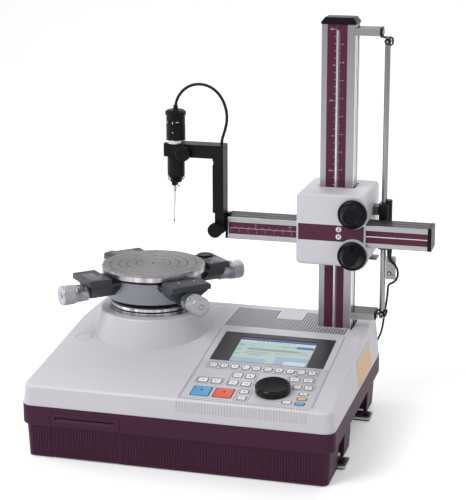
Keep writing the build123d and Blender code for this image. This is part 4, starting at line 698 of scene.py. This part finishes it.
# Light line along the upper edge of the scale's groove: a painted highlight of that edge.
bar(amarks, ARM, 115.2, 299.7, 286.2, 287.0, 0.30, MARK_SOFT)
for k in range(0, 18):
    x = 124.0 + 10.0 * k
    bar(amarks, ARM, x - 0.3, x + 0.3, 287.0, 290.4 if k % 5 == 3 else 289.0, 0.30, MARK_SOFT)
    if k % 5 == 3:
        glyphs(amarks, str(50 * (k // 5 + 1)), ARM, x, 292.4, 3.0, 0.32, MARK_SOFT)
for k in range(0, 15):
    x = 117.5 + 12.7 * k
    if x > 298:
        break
    bar(amarks, ARM, x - 0.3, x + 0.3, 284.2, 285.7, 0.30, MARK_SOFT)
    glyphs(amarks, str(k + 1), ARM, x, 281.4, 3.0, 0.32, MARK_SOFT)
amarks.make("arm", 30, "scale_strip")
# Right of the carriage: a silver line along the groove's upper edge, a painted highlight of that edge, and a lighter
# purple band below it.
aline = Mesh("arm_scale_groove")
bar(aline, front_at(0.0, -1.0, 0.0), 300.2, 398.6, 285.7, 288.1, 0.06, RIDGE, -0.02)
bar(aline, front_at(0.0, -1.0, 0.0), 300.2, 398.6, 281.4, 285.7, 0.04, PALE_PURPLE, -0.02)
aline.make("arm", 30, "scale_strip")

# ---------------------------------------------------------------------------
# Carriage: band, the two white discs, small screws
# ---------------------------------------------------------------------------
KF = front_at(0.0, -5.6, 0.0)


def arc(cx, cy, r, a0, a1, n):
    return [(cx + r * cos(radians(a0 + (a1 - a0) * k / n)), cy + r * sin(radians(a0 + (a1 - a0) * k / n))) for k in range(n + 1)]


band = Mesh("carriage_band")
RB = 22.9
d0 = degrees(math.asin((277.6 - 259.5) / RB))
d1 = degrees(math.asin((319.0 - 300.7) / RB))
pts = [(216.7, 277.6)] + arc(295.5, 259.5, RB, 180 - d0, d0, 24) + [(310.3, 277.6), (310.3, 300.7)] + arc(294.5, 319.0, RB, -d1, -180 + d1, 24) + [(216.7, 300.7)]
band.plate(KF, pts, -0.05, 0.22, BAND)
band.make("carriage", 30)
discs = Mesh("axis_discs")
for z, t in ((294.9, "Z"), (284.3, "X")):
    discs.lathe(front_at(274.6, -5.6, z), [(3.9, 0.1), (3.9, 0.36), (3.75, 0.42), (0.01, 0.42)], WHITE, 40)
    glyphs(discs, t, front_at(274.6, -5.6, z), 0.0, 0.0, 6.6, 0.46, INK, 0.16)
discs.make("carriage", 30)

extra = Mesh("carriage_small_parts")
extra.lathe(top_at(232.6, 51.2, 344.5), [(1.1, -0.3), (1.1, 0.1), (0.01, 0.1)], INK, 20)
# bent sheet under the rear right corner
extra.pad(top_at(0, 0, 0), 303.4, 316.4, 65.0, 91.0, 2.5, 235.0, 236.4, 0.3, BLOCK_PLATE, 5)
extra.pad(top_at(0, 0, 0), 303.4, 305.4, 66.0, 90.0, 0.6, 236.0, 241.5, 0.1, BLOCK_PLATE, 3)
for z in (239.9, 219.7):
    extra.lathe(front_at(337.6, 53.95, z), [(3.0, -0.1), (3.0, 0.5), (2.7, 0.8), (2.1, 0.8), (2.1, 0.3), (0.01, 0.3)], BLACK_SATIN, 32)
    extra.lathe(front_at(337.6, 53.95, z), [(1.9, 0.2), (1.9, 1.1), (1.6, 1.4), (0.8, 1.4), (0.7, 0.9), (0.01, 0.9)], ZINC, 28)
extra.make("carriage", 30)

# ---------------------------------------------------------------------------
# Right wall: plain plate laid on the wall. Front: seam beside the printer door
# ---------------------------------------------------------------------------
bpy.context.view_layer.update()


def hit(node, x, y, z, direction):
    """Where a straight line from a drawing point meets a CAD piece, in drawing millimetres."""
    ob = NODES[node]
    inv = ob.matrix_world.inverted()
    ok, loc, nor, i = ob.ray_cast(inv @ V(x, y, z), inv.to_3x3() @ Vector(direction))
    if not ok:
        return None
    q = ob.matrix_world @ loc
    return Vector((q.x * 1000 - TX, q.y * 1000 - TY, q.z * 1000))


def on_right_wall(name, y0, y1, z0, z1, lift, mat, r=1.5):
    m = Mesh(name)
    ny, nz = 24, 10
    rows = []
    for j in range(nz + 1):
        row = []
        for i in range(ny + 1):
            y, z = y0 + (y1 - y0) * i / ny, z0 + (z1 - z0) * j / nz
            q = hit("top_cover", 400.0, y, z, (-1, 0, 0))
            row.append(V(q.x + lift, y, z) if q else V(316.0, y, z))
        rows.append(row)
    m.loft(rows, mat, False, False, False)
    edge = [rows[0][i] for i in range(ny + 1)] + [rows[j][ny] for j in range(1, nz + 1)] + [rows[nz][i] for i in range(ny - 1, -1, -1)] + [rows[j][0] for j in range(nz - 1, 0, -1)]
    back = [p - Vector(((lift + 0.3) / 1000.0, 0, 0)) for p in edge]
    m.loft([edge, back], mat, False, False)
    return m.make("root", 30)


on_right_wall("wall_plate", -48.0, 50.0, 78.6, 117.6, 0.30, ORANGE)
on_right_wall("wall_plate_head", -48.0, 50.0, 113.4, 117.8, 0.42, PLATE_GREY)

seam = Mesh("door_seam")
pts = []
for k in range(35):
    z = 2.0 + 67.0 * k / 34
    best = None
    for node in ("base_skirt", "printer_door"):
        q = hit(node, 23.0, -300.0, z, (0, 1, 0))
        if q and (best is None or q.y < best.y):
            best = q
    pts.append(best.y if best else -219.0)
seam.loft([[V(22.3, y - 0.02, 2.0 + 67.0 * k / 34) for k, y in enumerate(pts)] + [V(22.3, y + 0.6, 2.0 + 67.0 * k / 34) for k, y in reversed(list(enumerate(pts)))],
           [V(23.7, y - 0.02, 2.0 + 67.0 * k / 34) for k, y in enumerate(pts)] + [V(23.7, y + 0.6, 2.0 + 67.0 * k / 34) for k, y in reversed(list(enumerate(pts)))]], BLACK_SATIN)
seam.make("root", 30)

# each joint of the scale rod: end plate with two screws, bent strap, eye and pin
jm = Mesh("rod_joint_straps")
for z0, z1, path, zr in ((557.4, 571.4, [(319.6, 566.0), (319.6, 559.4), (320.4, 557.9), (322.2, 557.3), (331.0, 557.3), (333.2, 556.8), (334.5, 555.0), (334.5, 549.6), (333.6, 547.4), (331.4, 546.4)], 551.5),
                         (150.0, 162.5, [(319.6, 154.0), (319.6, 160.6), (320.4, 162.1), (322.2, 162.7), (331.0, 162.7), (333.2, 163.2), (334.5, 162.6), (334.5, 160.0), (333.6, 156.0), (331.4, 153.6)], 158.0)):
    jm.pad(right_at(318.4, 0, 0), 48.2, 67.8, z0, z1, 1.2, 0.0, 2.1, 0.3, BLACK_SATIN, 5)
    for y in (54.0, 62.0):
        jm.lathe(right_at(320.4, y, (z0 + z1) / 2), [(2.3, -0.1), (2.3, 1.2), (2.0, 1.6), (1.2, 1.6), (1.1, 1.0), (0.01, 1.0)], ZINC, 28)
    rings = []
    for i, (x, z) in enumerate(path):
        a, b = path[max(i - 1, 0)], path[min(i + 1, len(path) - 1)]
        t = Vector((b[0] - a[0], 0, b[1] - a[1])).normalized()
        nn = Vector((-t.z, 0, t.x)) * 0.95
        rings.append([V(x + nn.x, 54.6, z + nn.z), V(x + nn.x, 61.4, z + nn.z), V(x - nn.x, 61.4, z - nn.z), V(x - nn.x, 54.6, z - nn.z)])
    jm.loft(rings, BLACK_SATIN)
    eye = Frame((327.5, 53.2, zr), (1, 0, 0), (0, 0, 1), (0, -1, 0))
    jm.lathe(eye, [(4.3, -9.6), (4.4, -9.2), (4.4, -0.4), (4.1, 0.0), (2.6, 0.0), (2.4, -0.6)], BLACK_SATIN, 48, True, True)
    jm.lathe(eye, [(2.2, -9.0), (2.2, 1.6), (1.9, 2.0), (0.01, 2.0)], ROD, 32)
jo = jm.make("root", 35)
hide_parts("rod_joints")

# ---------------------------------------------------------------------------
# Adjusters round the measuring table
# ---------------------------------------------------------------------------


def radial(angle, z):
    a = radians(angle)
    return Frame((0, 0, z), (cos(a), sin(a), 0), (-sin(a), cos(a), 0), (0, 0, 1))


rings = Mesh("table_ring_marks")
for r in (25.0, 38.0, 50.0, 63.0):
    n = 160
    rings.loft([[V((r + o) * cos(2 * pi * q / n), (r + o) * sin(2 * pi * q / n), TOP_Z - d) for q in range(n)] for o, d in ((-0.44, 0.16), (-0.2, 0.42), (0.2, 0.42), (0.44, 0.16))], INK, False, False)
# Dark discs laid just under the table's top at its holes: painted shade of the holes.
for r, size, angles in ((41.5, 1.6, HOLES), (66.0, 1.6, HOLES), (70.0, 1.15, (-75.0, -45.0, 45.0, 165.0)), (0.0, 2.45, (0.0,))):
    for q in angles:
        x, y = r * cos(radians(q)), r * sin(radians(q))
        rings.lathe(top_at(x, y, TOP_Z), [(size, -0.5), (size, -0.06), (0.01, -0.06)], INK, 24)
rings.make("table", 30)
flange = Mesh("spindle_flange_bands")
FL = top_at(0, 0, 0)
flange.lathe(FL, [(62.1, 174.39999999999998), (62.62, 174.39999999999998), (62.62, 177.0), (61.9, 177.7)], BLACK_SATIN, 128, False, False)
flange.lathe(FL, [(62.1, 169.2), (62.62, 169.2), (62.62, 173.2), (62.1, 173.4)], COLLAR_STEEL_PAINTED_LIGHT, 128, False, False)
flange.make("spindle", 35)
plates = Mesh("adjuster_plates")
plates.pad(radial(45, 218.5), 92.5, 109.5, -22.0, 6.5, 1.2, -0.1, 0.28, 0.12, BLOCK_PLATE)
plates.lathe(Frame((97.0 * cos(pi / 4) - 21.0 * sin(pi / 4), 97.0 * sin(pi / 4) + 21.0 * cos(pi / 4), 218.5), (1, 0, 0), (0, 1, 0), (0, 0, 1)),
             [(12.0, -0.1), (12.0, 1.7), (11.6, 2.2), (10.6, 2.4), (8.2, 2.4), (7.6, 1.9), (0.01, 1.9)], BLACK_SATIN, 64)
plates.pad(radial(-135, 218.5), 89.5, 107.5, -17.0, 20.0, 1.2, -0.1, 0.28, 0.12, BLOCK_PLATE)
plates.pad(radial(135, 218.5), 90.0, 108.0, -18.0, 18.0, 1.2, -0.1, 0.28, 0.12, BLOCK_PLATE)
plates.pad(radial(-45, 218.5), 95.0, 109.0, -20.0, 24.0, 1.2, -0.1, 0.22, 0.12, GREY)
for ang, r, o in ((-45, 91.0, -6.0), (-45, 91.0, 18.0), (45, 88.0, -16.0), (-135, 86.0, 4.0), (135, 86.0, -4.0)):
    a = radians(ang)
    plates.lathe(top_at(r * cos(a) - o * sin(a), r * sin(a) + o * cos(a), 218.5), [(1.7, -0.1), (1.7, 0.25), (1.4, 0.5), (0.9, 0.5), (0.8, 0.1), (0.01, 0.1)], ZINC, 24)
plates.make("housing", 35)

# knobs: sleeve with a graduated ring, knurled head, face with a raised rim and a centre button
for name, ang, body in (("centering_knob_front", -45, "front_screw"), ("centering_knob_right", 45, "right_screw"),
                        ("leveling_knob_left", -135, "left_screw"), ("leveling_knob_rear", 135, "rear_screw")):
    a = radians(ang)
    fr = Frame((0, 0, 197.0), (-sin(a), cos(a), 0), (0, 0, 1), (cos(a), sin(a), 0))

    def knurl(t, r, h):
        if 129.2 < h < 143.6 and r > 13.5:
            return r - 0.22 * (0.5 + 0.5 * cos(60 * t))
        return r
    k = Mesh(name + "_turned")
    k.lathe(fr, [(3.0, 66.0), (3.0, 96.0), (6.0, 96.2), (6.0, 106.5), (11.4, 106.6), (12.0, 107.0), (12.2, 107.8), (12.2, 110.6), (12.0, 110.9), (12.0, 111.5), (12.2, 111.8), (12.2, 123.6),
                 (12.5, 124.2), (13.2, 124.6), (13.55, 125.2), (13.2, 125.9), (12.5, 126.3), (12.2, 126.9), (12.3, 127.6), (13.3, 127.9), (13.9, 128.6), (14.0, 129.0)], KNOB_SILVER, 240, True, False)
    k.lathe(fr, [(14.0, 129.0), (14.0, 129.5), (14.0, 132.0), (14.0, 136.0), (14.0, 140.0), (14.0, 143.2), (14.0, 143.9)], KNOB_SILVER, 240, False, False, knurl)
    k.lathe(fr, [(14.0, 143.9), (13.8, 144.9), (13.3, 145.6), (12.5, 146.0), (11.6, 146.0), (11.2, 145.75), (4.4, 145.75), (4.1, 145.5), (3.7, 145.6), (3.6, 146.5), (3.3, 147.1), (2.6, 147.5), (0.01, 147.5)],
            KNOB_SILVER, 96, False, True)
    # graduations round the sleeve
    for q in range(40):
        t = 2 * pi * q / 40
        w = 0.011
        r0, h0, h1 = 12.22, 119.8 if q % 5 else 118.2, 123.4
        ring = [fr(r0 * cos(t + s * w), r0 * sin(t + s * w), h) for s, h in ((-1, h0), (1, h0), (1, h1), (-1, h1))]
        up = [fr((r0 + 0.03) * cos(t + s * w), (r0 + 0.03) * sin(t + s * w), h) for s, h in ((-1, h0), (1, h0), (1, h1), (-1, h1))]
        k.loft([ring, up], INK)
    ob = k.make(body, 32, "satin_silver")
    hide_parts(name)

# ---------------------------------------------------------------------------
# Detector: fine marks, spring ring round the nose, small lever
# ---------------------------------------------------------------------------
det = Mesh("detector_marks")


def curved(mesh, cx, r, ang, z, w, h, mat):
    """Small raised mark on an upright cylinder round (cx, 0)."""
    hw = w / 2 / r
    t0 = radians(ang)
    out = []
    for rr in (r - 0.05, r + 0.05):
        out.append([V(cx + rr * cos(t0 + s * hw), rr * sin(t0 + s * hw), zz) for s, zz in ((-1, z - h / 2), (1, z - h / 2), (1, z + h / 2), (-1, z + h / 2))])
    mesh.loft(out, mat)


curved(det, 36.4, 13.45, -92, 435.6, 0.9, 3.0, WHITE)
curved(det, 36.4, 13.45, -63, 436.4, 3.7, 1.5, WHITE)
curved(det, 36.4, 13.45, -132, 436.2, 2.0, 0.9, WHITE)
curved(det, 36.4, 13.65, -92, 421.8, 1.2, 1.2, WHITE)
COLLAR = material("collar_silver", (0.62, 0.62, 0.64), 0.24, 1.0, vary=0.05, grain=900, bump=0.08, stretch=(1, 1, 30))
det.lathe(top_at(36.4, 0.0, 0.0), [(13.4, 405.4), (14.2, 405.4), (14.4, 405.7), (14.4, 410.0), (14.2, 410.3), (13.4, 410.3)], COLLAR, 72)
det.make("detector", 30)
ringm = Mesh("detector_spring")
path = []
for k in range(33):
    t = radians(-225 + 270.0 * k / 32)
    path.append(V(36.4 + 11.6 * cos(t), 11.6 * sin(t), 354.6 + 0.22 * 11.6 * sin(t)))
ringm.loft(tube_rings(path, 0.00062, 10), BLACK_SATIN)
ringm.loft(tube_rings([V(35.2, -3.6, 349.6), V(37.5, -4.2, 347.2), V(40.4, -4.4, 344.6), V(43.6, -4.2, 342.8)], 0.0007, 10), BLACK_SATIN)
ringm.make("detector", 40)
nozzle = Mesh("detector_cable_bush")
nozzle.lathe(top_at(36.4, 0.0, 0.0), [(4.6, 452.6), (4.6, 453.4), (4.2, 453.9), (3.6, 454.0), (3.4, 455.2), (3.2, 458.6), (2.9, 459.4), (2.25, 459.6)], BLACK_SATIN, 40)
nozzle.make("detector", 35)

# stylus: shank, brass-toned stem, ball
STY = Vector((-2.0 / 55.5, 0, -1)).normalized()
sty = Frame((34.6, 0, 344.4), (0, 1, 0), STY.cross(Vector((0, 1, 0))), STY)
st = Mesh("stylus_turned")
st.lathe(sty, [(1.4, -0.4), (2.1, 0.3), (2.1, 8.6), (1.7, 9.6), (1.15, 10.0)], KNOB_SILVER, 32)
st.lathe(sty, [(1.3, 9.8), (1.2, 24.0), (1.05, 50.0), (0.9, 50.6)], BRASS, 28)
st.lathe(sty, [(0.9, 50.4), (1.15, 50.8), (1.1, 52.8), (0.8, 53.6), (0.45, 54.0), (0.42, 55.0)], BALL, 24)
ballf = sty(0, 0, 55.4)
st.lathe(Frame((34.6 + STY.x * 55.4, STY.y * 55.4, 344.4 + STY.z * 55.4), (1, 0, 0), (0, 1, 0), (0, 0, 1)),
         [(0.8 * sin(radians(q)) + 0.001, -0.8 * cos(radians(q))) for q in range(0, 181, 12)], BALL, 28)
st.lathe(Frame((34.5, 0, 346.2), (1, 0, 0), (0, 0, 1), (0, 1, 0)), [(1.06, -2.4), (2.5, -2.4), (2.6, -2.3), (2.6, 2.3), (2.5, 2.4), (1.06, 2.4)], KNOB_SILVER, 32)
st_ob = st.make("stylus_body", 35)
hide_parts("stylus")

# ---------------------------------------------------------------------------
# Cords: one smooth line through each route
# ---------------------------------------------------------------------------
DETECTOR_ROUTE = [(36.4, 0.0, 453.0), (36.4, 0.0, 461.0), (40.5, 0.0, 472.0), (50.0, 0.0, 483.5), (63.5, 0.0, 490.0), (78.5, 0.0, 490.5),
                  (92.5, 0.0, 485.0), (103.0, 0.0, 474.5), (109.6, 0.0, 461.0), (112.2, 0.0, 446.0), (110.6, 0.0, 432.0), (106.4, 0.0, 419.0), (104.2, 0.0, 411.5), (104.2, 0.0, 406.0)]
HEAD_ROUTE = [(338.0, 50.5, 244.0), (338.3, 50.4, 240.4), (342.0, 49.6, 237.4), (347.2, 49.0, 233.4), (350.6, 48.8, 226.6), (350.7, 49.4, 218.4),
              (348.2, 50.8, 211.4), (343.4, 53.0, 206.6), (338.2, 57.0, 203.6), (335.0, 62.0, 198.6), (333.6, 68.0, 189.6), (331.8, 75.6, 177.4), (328.6, 84.0, 162.0),
              (325.0, 94.0, 145.0), (321.6, 106.0, 128.0), (317.6, 119.0, 112.0), (312.0, 130.6, 98.0), (305.6, 139.6, 85.0),
              (299.6, 143.4, 74.0), (294.0, 139.4, 65.0), (290.0, 132.4, 61.0), (290.0, 125.0, 61.0)]


def route_curve(name, route):
    c = bpy.data.curves.new(name, "CURVE")
    c.dimensions = "3D"
    sp = c.splines.new("NURBS")
    sp.points.add(len(route) - 1)
    for p, q in zip(sp.points, route):
        v = V(*q)
        p.co = (v.x, v.y, v.z, 1.0)
    sp.order_u = 3
    sp.use_endpoint_u = True
    sp.resolution_u = 10
    o = bpy.data.objects.new(name, c)
    bpy.context.scene.collection.objects.link(o)
    return o


def line_points(curve_ob):
    """Points along the spline of a curve that has no bevel."""
    bpy.context.view_layer.update()
    me = bpy.data.meshes.new_from_object(curve_ob.evaluated_get(bpy.context.evaluated_depsgraph_get()))
    pts = [v.co.copy() for v in me.vertices]
    bpy.data.meshes.remove(me)
    return pts


def length_of(pts):
    return sum((b - a).length for a, b in zip(pts, pts[1:]))


# the detector's lead is a curve with a round bevel
lead = route_curve("detector_lead", DETECTOR_ROUTE)
lead_len = length_of(line_points(lead))
lead.data.bevel_depth = 0.0021
lead.data.bevel_resolution = 5
lead.data.use_fill_caps = True
lead.data.materials.append(CABLE)
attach(lead, "arm")
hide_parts("detector_cable")

# the reading head's lead bends between the carriage and the base
route = route_curve("head_route", HEAD_ROUTE)
line = line_points(route)
bpy.data.objects.remove(route)
hm = Mesh("head_lead")
hm.loft(tube_rings(line, 0.0016, 14), CABLE)
head = hm.make(None, 60)
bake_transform(head)
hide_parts("head_cable")

# ---------------------------------------------------------------------------
# Floor, light, camera
# ---------------------------------------------------------------------------
fm, fnt, fbs = nodes_of("floor_pale")
ftc = fnt.nodes.new("ShaderNodeTexCoord")
fn = add_noise(fnt, ftc.outputs["Object"], 3.0, 2.0, 0.4)
fnt.links.new(ramp(fnt, fn, [(0.3, (0.92, 0.92, 0.925)), (0.7, (0.935, 0.935, 0.94))]), fbs.inputs["Base Color"])
fbs.inputs["Roughness"].default_value = 0.65
fbs.inputs["Emission Color"].default_value = (1, 1, 1, 1)
fbs.inputs["Emission Strength"].default_value = 0.22
me = bpy.data.meshes.new("floor")
S, B, R, H = 4.0, 3.0, 1.2, 4.5
prof = [(-S, 0.0), (B - R, 0.0)] + [(B - R + R * sin(radians(t)), R - R * cos(radians(t))) for t in range(6, 91, 6)] + [(B, H)]
vs = [(x, y, z) for y, z in prof for x in (-6.0, 6.0)]
me.from_pydata(vs, [], [(2 * i, 2 * i + 1, 2 * i + 3, 2 * i + 2) for i in range(len(prof) - 1)])
me.materials.append(fm)
me.shade_smooth()
floor = bpy.data.objects.new("floor", me)
bpy.context.scene.collection.objects.link(floor)


def light(name, loc, aim, size, power, colour=(1, 1, 1), size_y=None):
    d = bpy.data.lights.new(name, "AREA")
    d.energy, d.color = power, colour
    d.shape, d.size, d.size_y = "RECTANGLE", size, size_y or size
    o = bpy.data.objects.new(name, d)
    o.location = loc
    o.rotation_euler = (Vector(aim) - Vector(loc)).to_track_quat("-Z", "Y").to_euler()
    bpy.context.scene.collection.objects.link(o)
    return o


light("key", (-1.35, -2.05, 2.35), (0.0, 0.0, 0.15), 1.5, 60)
light("fill", (2.3, -1.2, 1.1), (0.0, 0.0, 0.2), 1.2, 4)
light("back", (0.3, 1.6, 2.0), (0.0, 0.1, 0.1), 1.4, 12)
light("strip", (-2.0, 0.2, 0.9), (0.0, 0.0, 0.2), 0.5, 9, size_y=1.6)
w = bpy.data.worlds.new("world")
w.use_nodes = True
wt = w.node_tree
bg = wt.nodes["Background"]
tcw = wt.nodes.new("ShaderNodeTexCoord")
sep = wt.nodes.new("ShaderNodeSeparateXYZ")
wt.links.new(tcw.outputs["Generated"], sep.inputs[0])
wt.links.new(ramp(wt, sep.outputs[2], [(0.0, (0.22, 0.22, 0.23)), (0.35, (0.34, 0.34, 0.35)), (1.0, (0.55, 0.55, 0.56))]), bg.inputs[0])
xr = wt.nodes.new("ShaderNodeMapRange")
xr.inputs["From Min"].default_value, xr.inputs["From Max"].default_value = 0.25, 0.95
xr.inputs["To Min"].default_value, xr.inputs["To Max"].default_value = 1.0, 1.8
wt.links.new(sep.outputs[0], xr.inputs[0])
wt.links.new(xr.outputs[0], bg.inputs[1])
bpy.context.scene.world = w
bpy.context.scene.view_settings.view_transform = "Standard"

cam = bpy.data.cameras.new("camera")
cam.lens, cam.sensor_width, cam.sensor_fit = 108.51, 36.0, "AUTO"
cam.shift_x, cam.shift_y = -0.02, -0.07
cam.clip_start, cam.clip_end = 0.05, 50.0
co = bpy.data.objects.new("camera", cam)
co.location = (0.53398, -1.95941, 0.81016)
yaw, pitch = radians(15.08), radians(13.64)
fwd = Vector((-sin(yaw) * cos(pitch), cos(yaw) * cos(pitch), -sin(pitch)))
co.rotation_euler = fwd.to_track_quat("-Z", "Y").to_euler()
bpy.context.scene.collection.objects.link(co)
bpy.context.scene.camera = co
